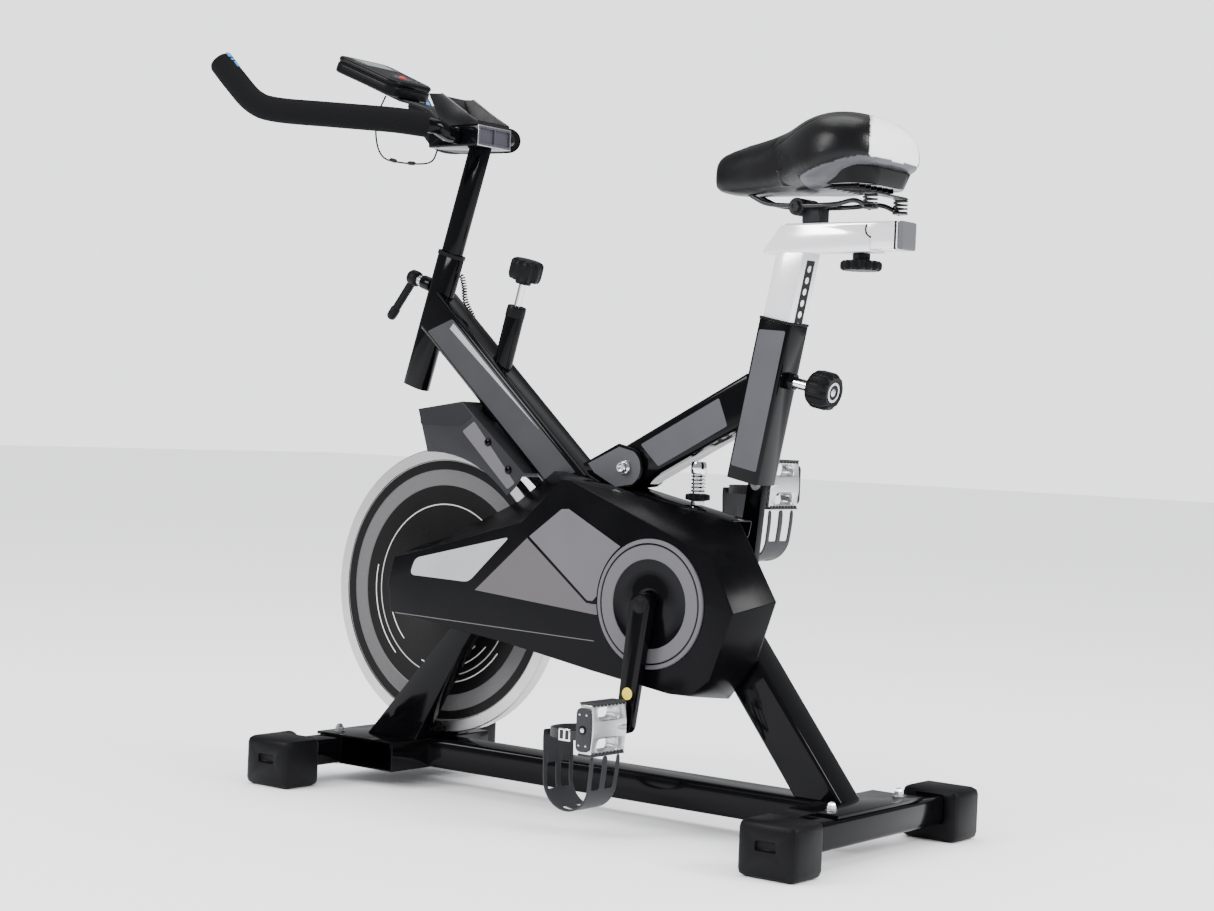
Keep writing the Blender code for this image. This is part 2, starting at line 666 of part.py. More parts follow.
def make_brake():
    """Knob and screw above, sliding shoe just over the flywheel's rim."""
    shoe_from, shoe_to = FLY_RADIUS + 0.004, FLY_RADIUS + 0.026
    tilt = math.atan2(brake_axis.x, brake_axis.z)
    shoe_middle = fly_centre + brake_axis * (shoe_from + shoe_to) / 2
    shoe = box((0.064, 0.022, shoe_to - shoe_from), shoe_middle, tilt=tilt, bevel=0.002, segments=1)
    finish(shoe, "brake_shoe", "felt", shoe_middle)
    knob_from, knob_to = 0.497, 0.530
    profile = [(0.0, knob_to), (0.020, knob_to), (0.0255, knob_to - 0.006),
               (0.0255, knob_from + 0.006), (0.020, knob_from), (0.012, knob_from),
               (0.012, knob_from - 0.006), (0.0045, knob_from - 0.007),
               (0.0045, shoe_to + 0.004), (0.0, shoe_to + 0.004)]
    knob = turned(profile, fly_centre, brake_axis, 16)
    finish(knob, "brake_knob", "black_plastic", fly_centre + brake_axis * knob_from)


make_flywheel()
make_flywheel_drive()
make_brake()

# ---------------------------------------------------------------- cranks and pedals
crank_way = Vector((-math.sin(CRANK_ANGLE), 0, -math.cos(CRANK_ANGLE)))


def make_crank_set():
    """Crank axle and the large pulley behind the guard."""
    axle = rod(CRANK_AXLE, side(CRANK_CENTRE, -CRANK_Y - CRANK_THICK / 2),
               side(CRANK_CENTRE, CRANK_Y + CRANK_THICK / 2), 32)
    finish(axle, "crank_axle", "satin_silver", bracket_centre)
    half = PULLEY_THICK / 2
    profile = [(PULLEY_RADIUS, half), (PULLEY_RADIUS, -half), (PULLEY_RADIUS - 0.008, -half),
               (PULLEY_RADIUS - 0.008, -half + 0.004), (0.022, -half + 0.004), (0.022, -half),
               (CRANK_AXLE + GAP, -half), (CRANK_AXLE + GAP, half), (PULLEY_RADIUS, half)]
    pulley = turned(profile, side(CRANK_CENTRE, PULLEY_Y), (0, 1, 0), 32)
    finish(pulley, "drive_pulley", "black_plastic", bracket_centre)


def make_crank(label, way):
    """Crank arm with its pedal spindle."""
    along = crank_way if way < 0 else -crank_way
    heading = math.degrees(math.atan2(along.z, along.x))
    tip = bracket_centre + along * CRANK_LENGTH
    outline = arc(CRANK_CENTRE, 0.0175, heading + 90, heading + 270, 8)
    outline += arc((tip.x, tip.z), 0.0130, heading - 90, heading + 90, 8)
    inner, outer = way * (CRANK_Y - CRANK_THICK / 2), way * (CRANK_Y + CRANK_THICK / 2)
    arm = plate(outline, inner, outer)
    bore = rod(CRANK_AXLE + GAP, side(CRANK_CENTRE, -0.2), side(CRANK_CENTRE, 0.2), 32)
    arm = boolean(arm, bore)
    tip_point = (tip.x, tip.z)
    spindle = rod(PEDAL_SPINDLE, side(tip_point, inner + way * 0.001),
                  side(tip_point, outer + way * (PEDAL_LONG + 0.004)), 20)
    finish(boolean(arm, spindle, "UNION"), "crank_" + label, "frame_black", bracket_centre)
    return tip


def strap_line(root_x, front_x, half, turn):
    """U-shaped line of the strap, from the pedal round the foot and back."""
    line = []
    start_x = root_x - STRAP_STRAIGHT
    for step in range(STRAP_STEPS + 1):
        angle = math.pi * step / STRAP_STEPS
        line.append((start_x - (start_x - front_x) * math.sin(angle), half * math.cos(angle)))
    line = [(root_x, half), *line, (root_x, -half)]
    return line[::turn]


def make_pedal(label, way, tip):
    """Pedal body on its spindle, with a toe cage below and a strap in front."""
    inner = CRANK_Y + CRANK_THICK / 2 + 0.003
    middle_y = way * (inner + PEDAL_LONG / 2)
    axis_point = (tip.x, tip.z)
    body = box((PEDAL_THICK, PEDAL_LONG, PEDAL_HIGH), (tip.x, middle_y, tip.z), bevel=0.003, segments=1)
    for lift in (0.0225, -0.0225):
        body = boolean(body, box((0.05, PEDAL_LONG - 0.018, 0.021), (tip.x, middle_y, tip.z + lift)))
    bore = rod(PEDAL_SPINDLE + RUN, side(axis_point, 0.05 * way), side(axis_point, 0.4 * way), 20)
    finish(boolean(body, bore), "pedal_" + label, "satin_silver", side(axis_point, middle_y))

    top = tip.z - PEDAL_HIGH / 2 - GAP
    band_z = tip.z - 0.010
    bend = (tip.x - 0.035, top - CAGE_RADIUS)
    lip_x = bend[0] - CAGE_RADIUS
    lip_top = band_z + STRAP_WIDE / 2
    outer = [(tip.x + 0.009, top), *arc(bend, CAGE_RADIUS, 0, -180, 10), (lip_x - 0.004, lip_top)]
    inner_line = [(lip_x - 0.004 + CAGE_WALL, lip_top), *arc(bend, CAGE_RADIUS - CAGE_WALL, -180, 0, 10),
                  (tip.x + 0.005, top)]
    cage = plate(outer + inner_line, middle_y - CAGE_HALF, middle_y + CAGE_HALF)
    for shift in (-CAGE_HALF * 0.485, CAGE_HALF * 0.485):
        cage = boolean(cage, box((0.05, 0.020, 0.030), (tip.x + 0.010, middle_y + shift, top - 0.024)))
        cage = boolean(cage, box((0.04, 0.020, 0.030), (lip_x, middle_y + shift, top - 0.014)))
    root_x = tip.x - PEDAL_THICK / 2 - GAP
    front_x, half = lip_x - 0.0025, PEDAL_LONG / 2 - 0.003
    line = strap_line(root_x, front_x, half, 1)
    line += strap_line(root_x, front_x + STRAP_THICK, half - STRAP_THICK, -1)
    band = prism([line], STRAP_WIDE, Matrix.Translation((0, middle_y, band_z)))
    cage = boolean(cage, band, "UNION")
    finish(cage, "toe_cage_" + label, "black_plastic", side(axis_point, middle_y))


make_crank_set()
for side_name, side_way in SIDES:
    crank_tip = make_crank(side_name, side_way)
    make_pedal(side_name, side_way, crank_tip)


def make_belt():
    """Flat belt around both pulleys."""
    big, small = PULLEY_RADIUS + GAP, PULLEY_RADIUS / PULLEY_RATIO + GAP
    apart = (bracket_centre - fly_centre)
    heading = math.degrees(math.atan2(apart.z, apart.x))
    wrap = math.degrees(math.acos((big - small) / apart.length))

    def around(extra):
        """Both arcs of the belt's line at one offset."""
        loop = arc(CRANK_CENTRE, big + extra, heading - 180 + wrap, heading + 180 - wrap, 28)
        return loop + arc(FLY_CENTRE, small + extra, heading + 180 - wrap, heading + 180 + wrap, 14)

    belt = plate(around(BELT_THICK), PULLEY_Y - BELT_WIDE / 2, PULLEY_Y + BELT_WIDE / 2, [around(0.0)])
    finish(belt, "drive_belt", "rubber")


make_belt()

# ---------------------------------------------------------------- guards
FACE_OUTLINE = [(-0.344, 0.315), (-0.333, 0.353), (-0.262, 0.370), (-0.085, 0.420), (-0.013, 0.486),
                (0.003, 0.486), (0.254, 0.392), (0.292, 0.318), (0.257, 0.224), (0.225, 0.200),
                (0.190, 0.199), (0.052, 0.218), (-0.096, 0.241), (-0.337, 0.269)]
BACK_OUTLINE = [(-0.354, 0.312), (-0.345, 0.368), (-0.262, 0.392), (-0.150, 0.447), (-0.082, 0.496),
                (-0.062, 0.496), (0.252, 0.438), (0.316, 0.334), (0.288, 0.250), (0.245, 0.193),
                (0.185, 0.189), (0.052, 0.208), (-0.096, 0.231), (-0.347, 0.260)]


def guard_solid(shrink, y_face, y_back):
    """Solid between the guard's face and back outlines, each pulled in by a wall."""
    face = [side(point, y_face) for point in grown(FACE_OUTLINE, -shrink)]
    back = [side(point, y_back) for point in grown(BACK_OUTLINE, -shrink)]
    return evaluated(loft([face, back]))


def make_belt_guard():
    """Left-hand belt guard: a dished outer shell and a flat inner plate."""
    shell = guard_solid(0.0, GUARD_FACE, GUARD_BACK)
    shell = boolean(shell, guard_solid(GUARD_WALL, GUARD_FACE + GUARD_WALL, GUARD_BACK + 0.004))
    fork_gap = [(-0.420, 0.060), (-0.300, 0.060), (-0.190, 0.235), (-0.190, 0.262), (-0.278, 0.272),
                (-0.290, 0.240)]
    shell = boolean(shell, plate(fork_gap, -(FORK_INNER + FORK_THICK + 0.002), GUARD_BACK + 0.01))
    hole = rod(0.016, side(CRANK_CENTRE, GUARD_FACE - 0.02), side(CRANK_CENTRE, GUARD_FACE + 0.01), 24)
    finish(boolean(shell, hole), "belt_guard_outer", "guard_plastic")

    back_from, back_to = GUARD_BACK + GAP, GUARD_BACK + 0.003
    inner = plate(grown(BACK_OUTLINE, -0.001), back_from, back_to)
    for centre, radius in ((CRANK_CENTRE, 0.014), (FLY_CENTRE, 0.032)):
        inner = boolean(inner, rod(radius, side(centre, -0.06), side(centre, -0.01), 24))
    finish(inner, "belt_guard_inner", "guard_plastic")

    disc = turned(ring_profile(DISC_RADIUS, 0.016, DISC_THICK, GAP),
                  side(CRANK_CENTRE, GUARD_FACE), (0, -1, 0), 36)
    finish(disc, "crank_cover_ring", "satin_silver")


def make_sweat_guard():
    """Cover over the top of the flywheel, open below, under the down tube."""
    over = FLY_RADIUS + 0.006
    top = [(-0.352, 0.580), (-0.262, 0.594), (-0.236, 0.572), (-0.135, 0.490)]
    start = 46.0
    stop = math.degrees(math.atan2(0.522 - FLY_CENTRE[1], -0.330 - FLY_CENTRE[0]))
    lower = arc(FLY_CENTRE, over - 0.012, start, stop, 10)
    cover = plate(top + [(-0.150, 0.470)] + lower, -0.044, 0.044)
    inside_top = [(-0.346, 0.573), (-0.264, 0.588), (-0.239, 0.567), (-0.140, 0.485)]
    inside_low = [(-0.110, 0.440), (-0.150, 0.400), (-0.300, 0.400), (-0.360, 0.500)]
    cover = boolean(cover, plate(inside_top + inside_low, -0.0415, 0.0415))
    cover = boolean(cover, down_solid(0.001))
    cut_axis = rod(BRAKE_TUBE + 0.001, fly_centre + brake_axis * 0.20, fly_centre + brake_axis * 0.50, 20)
    finish(boolean(cover, cut_axis), "flywheel_guard", "guard_plastic")


make_belt_guard()
make_sweat_guard()

# ---------------------------------------------------------------- sprung seat arm
pivot = side(PIVOT)
arm_way = Vector((math.cos(ARM_RISE), 0, math.sin(ARM_RISE)))
seat_axis = lean(SEAT_LEAN)
seat_back = Vector((math.cos(SEAT_LEAN), 0, -math.sin(SEAT_LEAN)))
seat_foot = side(SEAT_TUBE_FOOT)
seat_mouth = seat_foot + seat_axis * SEAT_TUBE_LENGTH
KNOB_ALONG = 0.150


def seat_tube_solid(extra):
    """The seat tube's outside, grown by a clearance."""
    return tube(SEAT_TUBE_DEEP + 2 * extra, SEAT_TUBE_WIDE + 2 * extra, seat_foot - seat_axis * 0.05,
                seat_mouth + seat_axis * 0.05, 0.005)


def make_pivot_bracket():
    """U bracket on the down tube that holds the arm's hinge bolt."""
    cheek_out = ARM_WIDE / 2 + 0.0015 + CHEEK
    outline = [(-0.034, 0.509), (0.030, 0.541), *arc(PIVOT, 0.031, 65, -62, 8), (0.020, 0.474),
               (-0.022, 0.494)]
    bracket = plate(outline, -cheek_out, cheek_out)
    slot = box((0.16, ARM_WIDE + 0.003, 0.16), (0.0875, 0, 0.507))
    bracket = boolean(bracket, slot)
    bracket = boolean(bracket, down_solid(GAP))
    bracket = boolean(bracket, rod(PIVOT_BOLT + GAP, side(PIVOT, -0.1), side(PIVOT, 0.1), 20))
    finish(bracket, "pivot_bracket", "frame_black")
    end = cheek_out + 0.012
    profile = [(0.0, end), (0.0085, end), (0.0085, cheek_out + GAP), (PIVOT_BOLT, cheek_out + GAP),
               (PIVOT_BOLT, -cheek_out - GAP), (0.0085, -cheek_out - GAP), (0.0085, -end), (0.0, -end)]
    finish(turned(profile, pivot, (0, 1, 0), 20), "pivot_bolt", "chrome")


def make_seat_arm():
    """Arm from the hinge bolt, welded to the seat tube."""
    start = pivot - arm_way * 0.014
    arm = tube(ARM_DEEP, ARM_WIDE, start, pivot + arm_way * 0.24, 0.006, TUBE_WALL)
    sleeve = rod(0.014, side(PIVOT, -ARM_WIDE / 2 + 0.001), side(PIVOT, ARM_WIDE / 2 - 0.001), 20)
    arm = boolean(arm, seat_tube_solid(-0.0007))
    behind = box((0.2, 0.1, 0.4), (seat_foot + seat_axis * 0.1 + seat_back * 0.1), tilt=SEAT_LEAN)
    arm = boolean(boolean(arm, behind), sleeve, "UNION")
    arm = boolean(arm, rod(PIVOT_BOLT + RUN, side(PIVOT, -0.1), side(PIVOT, 0.1), 20))
    strut_room = [(-0.02, 0.40), (-0.02, 0.4845), (0.068, 0.4845), (0.075, 0.40)]
    arm = boolean(arm, plate(strut_room, -0.05, 0.05))
    seat_tube = tube(SEAT_TUBE_DEEP, SEAT_TUBE_WIDE, seat_foot, seat_mouth, 0.005, TUBE_WALL)
    knob_at = seat_foot + seat_axis * KNOB_ALONG + seat_back * (SEAT_TUBE_DEEP / 2)
    hole = rod(0.008 + GAP, knob_at - seat_back * 0.01, knob_at + seat_back * 0.01, 20)
    finish(boolean(boolean(seat_tube, hole), arm, "UNION"), "seat_arm", "frame_black", pivot)


def make_shock():
    """Spring unit between the upper strut and the arm."""
    foot_x = 0.152
    slope = (STRUT_END[1] - STRUT_START[1]) / (STRUT_END[0] - STRUT_START[0])
    strut_middle = STRUT_START[1] + slope * (foot_x - STRUT_START[0])
    strut_top = strut_middle + STRUT_DEEP / 2 / math.cos(math.atan(slope))
    low = strut_top + 0.0022
    high = PIVOT[1] + (foot_x - PIVOT[0]) * math.tan(ARM_RISE) - ARM_DEEP / 2 / math.cos(ARM_RISE) - 0.0085
    middle = (low + high) / 2
    profile = [(0.0, high), (0.010, high), (0.010, high - 0.012), (0.0085, high - 0.013),
               (0.0085, middle), (0.018, middle - 0.002), (0.018, low + 0.008), (0.010, low + 0.006),
               (0.010, low), (0.0, low)]
    finish(turned(profile, side((foot_x, 0.0)), (0, 0, 1), 16), "shock_absorber", "chrome")


make_pivot_bracket()
make_seat_arm()
make_shock()

# ---------------------------------------------------------------- seat post, slider and saddle


def make_seat_post():
    """Chrome post, cut level at the top where the slide channel is welded on."""
    start = seat_mouth - seat_axis * SEAT_POST_INSERT
    post = tube(SEAT_POST_DEEP, SEAT_POST_WIDE, start, seat_mouth + seat_axis * 0.12, 0.002, 0.0018)
    above = box((0.3, 0.2, 0.1), (seat_mouth.x, 0, CHANNEL_BOTTOM - GAP + 0.05))
    finish(boolean(post, above), "seat_post", "chrome", seat_mouth)


def make_channel():
    """Open-topped slide channel with a slanted nose and a hooked tail."""
    top = CHANNEL_BOTTOM + CHANNEL_HIGH
    hook = arc((CHANNEL_REAR + 0.002, CHANNEL_BOTTOM + 0.030), 0.012, 250, 150, 5)
    outline = [(CHANNEL_FRONT, CHANNEL_BOTTOM), (CHANNEL_REAR, CHANNEL_BOTTOM), *hook,
               (CHANNEL_REAR - 0.012, top), (CHANNEL_FRONT + 0.030, top)]
    channel = plate(outline, -CHANNEL_HALF, CHANNEL_HALF)
    inside = SLIDER_WIDE / 2 + GAP
    channel = boolean(channel, box((0.4, 2 * inside, 0.2), (0.35, 0, CHANNEL_BOTTOM + 0.0022 + 0.1)))
    hole = rod(KNOB_STUD + GAP, (KNOB_X, 0, CHANNEL_BOTTOM - 0.01), (KNOB_X, 0, CHANNEL_BOTTOM + 0.01), 16)
    finish(boolean(channel, hole), "slide_channel", "chrome", seat_mouth)


def make_slider():
    """Slide bar, its plastic end cap and the clamp knob below."""
    low = CHANNEL_BOTTOM + 0.0022 + GAP
    middle = low + SLIDER_HIGH / 2
    bar = tube(SLIDER_HIGH, SLIDER_WIDE, side((SLIDER_FRONT, middle)), side((SLIDER_REAR, middle)),
               0.003, TUBE_WALL)
    finish(bar, "slide_bar", "chrome", side((SLIDER_FRONT, middle)))
    cap = box((0.0085, SLIDER_WIDE, SLIDER_HIGH), (SLIDER_REAR + GAP + 0.00425, 0, middle), bevel=0.002)
    finish(cap, "slide_end_cap", "black_plastic", side((SLIDER_FRONT, middle)))
    top = CHANNEL_BOTTOM - 0.0008
    profile = [(0.0, CHANNEL_BOTTOM + 0.0015), (KNOB_STUD, CHANNEL_BOTTOM + 0.0015), (KNOB_STUD, top),
               (0.012, top), (0.012, top - 0.009), (0.026, top - 0.010), (0.029, top - 0.013),
               (0.029, top - 0.021), (0.026, top - 0.024), (0.0, top - 0.024)]
    knob = turned(profile, (KNOB_X, 0, 0), (0, 0, 1), 24)
    finish(knob, "slide_knob", "black_plastic", Vector((KNOB_X, 0, top)))
    return low + SLIDER_HIGH


def make_post_knob():
    """Pull knob on the back of the seat tube, its pin just clear of the post."""
    knob_at = seat_foot + seat_axis * KNOB_ALONG + seat_back * (SEAT_TUBE_DEEP / 2)
    pin_from = (SEAT_POST_DEEP - SEAT_TUBE_DEEP) / 2 + 0.0008
    profile = [(0.0, 0.078), (0.020, 0.078), (0.0245, 0.075), (0.027, 0.070), (0.027, 0.048),
               (0.021, 0.042), (0.011, 0.040), (0.008, 0.036), (0.008, pin_from), (0.0, pin_from)]
    knob = turned(profile, knob_at, seat_back, 24)
    finish(knob, "seat_post_knob", "black_plastic", knob_at)


KNOB_X = 0.406
make_seat_post()
make_channel()
slide_top = make_slider()
make_post_knob()

CLAMP_BOLT = (0.312, 0.8785)


def make_saddle_clamp():
    """Clamp block on the slide bar; the saddle's rails tilt about its cross bolt."""
    block = box((0.030, 0.026, 0.022), (0.330, 0, slide_top + GAP + 0.011), bevel=0.002, segments=1)
    ear = rod(0.0125, side(CLAMP_BOLT, -0.013), side(CLAMP_BOLT, 0.013), 20)
    clamp = boolean(block, ear, "UNION")
    clamp = boolean(clamp, rod(0.005 + RUN, side(CLAMP_BOLT, -0.1), side(CLAMP_BOLT, 0.1), 20))
    finish(clamp, "saddle_clamp", "black_plastic", side((SLIDER_FRONT, 0.83)))


def make_saddle_frame():
    """Cross bolt with cheeks, two bent rails and the rear spring plate in one weldment."""
    frame = rod(0.005, side(CLAMP_BOLT, -0.030), side(CLAMP_BOLT, 0.030), 16)
    for _, way in SIDES:
        cheek = rod(0.012, side(CLAMP_BOLT, way * 0.0165), side(CLAMP_BOLT, way * 0.0235), 16)
        route = [Vector((0.232, way * 0.012, 0.893)), Vector((0.262, way * 0.016, 0.884)),
                 Vector((0.312, way * 0.020, 0.880)), Vector((0.372, way * 0.022, 0.880)),
                 Vector((0.412, way * 0.034, 0.883)), Vector((0.440, way * 0.044, 0.893))]
        rail_bar = wire(smooth_route(route, 1), 0.0035, 2)
        frame = boolean(frame, cheek, "UNION")
        frame = boolean(frame, rail_bar, "UNION")
    rear_plate = box((0.016, 0.092, 0.003), (0.440, 0, 0.8925))
    frame = boolean(frame, rear_plate, "UNION")
    for _, way in SIDES:
        profile = [(0.0, 0.024), (0.011, 0.024), (0.011, 0.020), (0.008, 0.018), (0.011, 0.014),
                   (0.008, 0.010), (0.011, 0.006), (0.008, 0.003), (0.008, 0.0), (0.0, 0.0)]
        spring = turned(profile, (0.440, way * 0.040, 0.8695), (0, 0, 1), 12)
        frame = boolean(frame, spring, "UNION")
    finish(frame, "saddle_rails", "satin_silver", side(CLAMP_BOLT))


def make_saddle():
    """Padded saddle: broad sprung rear, narrow drooping nose."""
    stations = [(0.163, 0.014, 0.910, 0.948), (0.182, 0.030, 0.900, 0.962), (0.235, 0.036, 0.8975, 0.972),
                (0.290, 0.050, 0.8975, 0.985), (0.335, 0.084, 0.8975, 1.004), (0.380, 0.106, 0.8980, 1.011),
                (0.425, 0.106, 0.9000, 1.004), (0.456, 0.078, 0.9060, 0.978), (0.468, 0.040, 0.914, 0.955)]
    rings = []
    for x, half, low, top in stations:
        mid = low + (top - low) * 0.45
        rings.append([Vector((x, half * a, z)) for a, z in (
            (0.0, low), (0.62, low), (0.98, low + (mid - low) * 0.45), (0.98, mid + (top - mid) * 0.25),
            (0.66, top - (top - mid) * 0.18), (0.0, top), (-0.66, top - (top - mid) * 0.18),
            (-0.98, mid + (top - mid) * 0.25), (-0.98, low + (mid - low) * 0.45), (-0.62, low))])
    cushion = add_modifier(loft(rings), "SUBSURF", levels=1, render_levels=1)
    finish(cushion, "saddle", "leather", side(CLAMP_BOLT))


make_saddle_clamp()
make_saddle_frame()
make_saddle()

# ---------------------------------------------------------------- handlebar and console
post_at_bracket = head_foot + head_axis * ((STEM_BOTTOM - HEAD_FOOT[1]) / head_axis.z)
bar_z = STEM_BOTTOM + STEM_HIGH / 2
BAR_X = -0.302
GRIP_START = 0.095
# where a horn runs: x, distance from the middle plane, height above the cross bar
HORN_BENDS = ((-0.352, 0.131, 0.015), (-0.440, 0.167, 0.022), (-0.530, 0.200, 0.030),
              (-0.566, 0.213, 0.043), (-0.600, 0.221, 0.075), (-0.630, 0.228, 0.108))


def make_handlebar_post():
    """Flat-sided post, cut level under the stem box."""
    start = head_top - head_axis * POST_INSERT
    post = tube(POST_DEEP, POST_WIDE, start, post_at_bracket + head_axis * 0.03,
                POST_WIDE / 2 - 0.0005, 0.0018)
    above = box((0.3, 0.2, 0.1), (post_at_bracket.x, 0, STEM_BOTTOM - GAP + 0.05))
    finish(boolean(post, above), "handlebar_post", "frame_black", head_top)


def make_stem():
    """Rectangular stem box, open at the rear where its two-cell plug sits."""
    mid_z = bar_z
    stem = tube(STEM_HIGH, STEM_WIDE, side((STEM_REAR - STEM_LONG, mid_z)), side((STEM_REAR, mid_z)),
                0.003, TUBE_WALL)
    hole = rod(BAR_RADIUS + 0.0008, (BAR_X, -0.1, mid_z), (BAR_X, 0.1, mid_z), 32)
    finish(boolean(stem, hole), "handlebar_stem", "frame_black", head_top)


def horn(way):
    """Where one horn's grip starts on the cross bar, and which way it heads there."""
    start = Vector((BAR_X - 0.008, way * GRIP_START, bar_z + 0.010))
    return start, Vector((-0.62, way * 0.78, 0.08)).normalized()


def make_handlebar():
    """Cross bar through the stem box and a padded horn on each side."""
    halves = {}
    for label, way in SIDES:
        start, heading = horn(way)
        halves[way] = [Vector((BAR_X, way * 0.045, bar_z)), Vector((BAR_X, way * 0.060, bar_z + 0.001)),
                       start - heading * 0.014, start - heading * GAP / 2]
        bends = [Vector((x, way * y, bar_z + z)) for x, y, z in HORN_BENDS]
        route = smooth_route([start + heading * 0.014, *bends], 2)
        grip = wire([start + heading * GAP / 2, *route], GRIP_RADIUS, 3)
        finish(grip, "grip_" + label, "foam", head_top)
    bar = wire(halves[-1][::-1] + halves[1], BAR_RADIUS, 3)
    finish(bar, "handlebar_bar", "frame_black", head_top)


def make_tray():
    """Sloped tray with side walls between the console and the stem."""
    stem_top = STEM_BOTTOM + STEM_HIGH + 2 * GAP
    outline = [(-0.260, stem_top), (-0.260, stem_top + 0.006), (-0.300, 1.046), (-0.335, 1.068),
               (-0.362, 1.070), (-0.352, 1.052), (-0.330, stem_top)]
    tray = plate(outline, -0.038, 0.038)
    inside = [(-0.250, stem_top + 0.006), (-0.250, 1.10), (-0.37, 1.10), (-0.345, 1.055),
              (-0.324, stem_top + 0.006)]
    return boolean(tray, plate(inside, -0.0355, 0.0355))


def make_console():
    """Display housing with one sprung button, on a bent bracket above the stem."""
    centre = side(CONSOLE_CENTRE)
    housing = box(CONSOLE_SIZE, centre, tilt=CONSOLE_TILT, bevel=0.008, segments=3)
    normal = Vector((math.sin(CONSOLE_TILT), 0, math.cos(CONSOLE_TILT)))
    along = Vector((math.cos(CONSOLE_TILT), 0, -math.sin(CONSOLE_TILT)))
    face = centre + normal * (CONSOLE_SIZE[2] / 2)
    button_at = face + along * 0.033
    pocket = rod(BUTTON_RADIUS + GAP, button_at - normal * 0.005, button_at + normal * 0.005, 20)
    finish(boolean(housing, pocket), "console", "black_plastic", head_top)
    button_low = button_at - normal * (0.005 - GAP - BUTTON_TRAVEL)
    button = rod(BUTTON_RADIUS, button_low, button_at + normal * 0.0015, 20)
    finish(button, "console_button", "red", button_at)

    under = centre - normal * (CONSOLE_SIZE[2] / 2 + GAP)
    first, second = under - along * 0.010, under + along * 0.064
    stem_top = STEM_BOTTOM + STEM_HIGH + GAP
    thick = 0.004
    outline = [(first.x, first.z), (second.x, second.z), (-0.402, 1.060), (-0.372, 1.048),
               (-0.340, stem_top + thick), (-0.262, stem_top + thick), (-0.262, stem_top),
               (-0.343, stem_top), (-0.375, 1.043), (-0.404, 1.055),
               (second.x - 0.001, second.z - thick), (first.x - 0.0015, first.z - thick)]
    holder = plate(outline, -0.024, 0.024)
    finish(boolean(holder, make_tray(), "UNION"), "console_bracket", "black_plastic", head_top)


def make_cords():
    """Curly sensor cord on the frame and two console leads on the handlebar."""
    start = head_top - head_axis * 0.020 + head_across * (HEAD_DEEP / 2 + 0.0008)
    top_of_down = down_start + Vector((0.663, 0, 0.749)) * (DOWN_DEEP / 2 + 0.0062)
    route = [start + Vector((0.006, 0, -0.001)), start + Vector((0.012, 0, -0.020)),
             start + Vector((0.016, 0, -0.042)), top_of_down + Vector((0.052, 0, -0.044))]
    finish(wire(smooth_route(route, 4), 0.0050, 2), "curly_cord", "rubber")
    lead = [Vector((-0.470, -0.020, 1.0745)), Vector((-0.484, -0.024, 1.040)),
            Vector((-0.480, -0.026, 1.000)), Vector((-0.462, -0.027, 0.975)),
            Vector((-0.425, -0.028, 0.966)), Vector((-0.380, -0.029, 0.962)),
            Vector((-0.356, -0.030, 0.966)), Vector((-0.346, -0.030, 0.9835))]
    finish(wire(smooth_route(lead, 3), 0.0014, 2), "console_lead", "rubber", head_top)


def make_lever():
    """L-shaped clamp lever screwed into the head tube's boss."""
    hub_at = lever_point - head_across * (BOSS_LENGTH + 0.0005)
    out = -head_across
    hub_profile = [(0.0, 0.030), (0.010, 0.030), (0.0125, 0.026), (0.0125, 0.012), (0.008, 0.010),
                   (0.008, 0.0), (0.005, 0.0), (0.005, -BOSS_LENGTH), (0.0, -BOSS_LENGTH)]
    hub = turned(hub_profile, hub_at, out, 20)
    root = hub_at + out * 0.020
    tip = root + (side((-0.050, -0.064))).normalized() * 0.082
    handle = wire([root, root.lerp(tip, 0.3), root.lerp(tip, 0.7), tip], 0.0078, 2)
    finish(boolean(hub, handle, "UNION"), "clamp_lever", "black_plastic", hub_at)


make_handlebar_post()
make_stem()
make_handlebar()
make_console()
make_cords()
make_lever()

# ---------------------------------------------------------------- origin under the bounding box
bpy.context.view_layer.update()
corners = [piece.matrix_world @ Vector(corner) for piece in parts.objects if piece.type == "MESH"
           for corner in piece.bound_box]
middle = [(min(c[axis] for c in corners) + max(c[axis] for c in corners)) / 2 for axis in (0, 1)]
bike.location = (-middle[0], -middle[1], 0.0)
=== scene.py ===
"""Indoor cycling bike with a sprung seat arm: its looks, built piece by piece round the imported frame."""

import json
import math

import bpy
from mathutils import Matrix, Vector


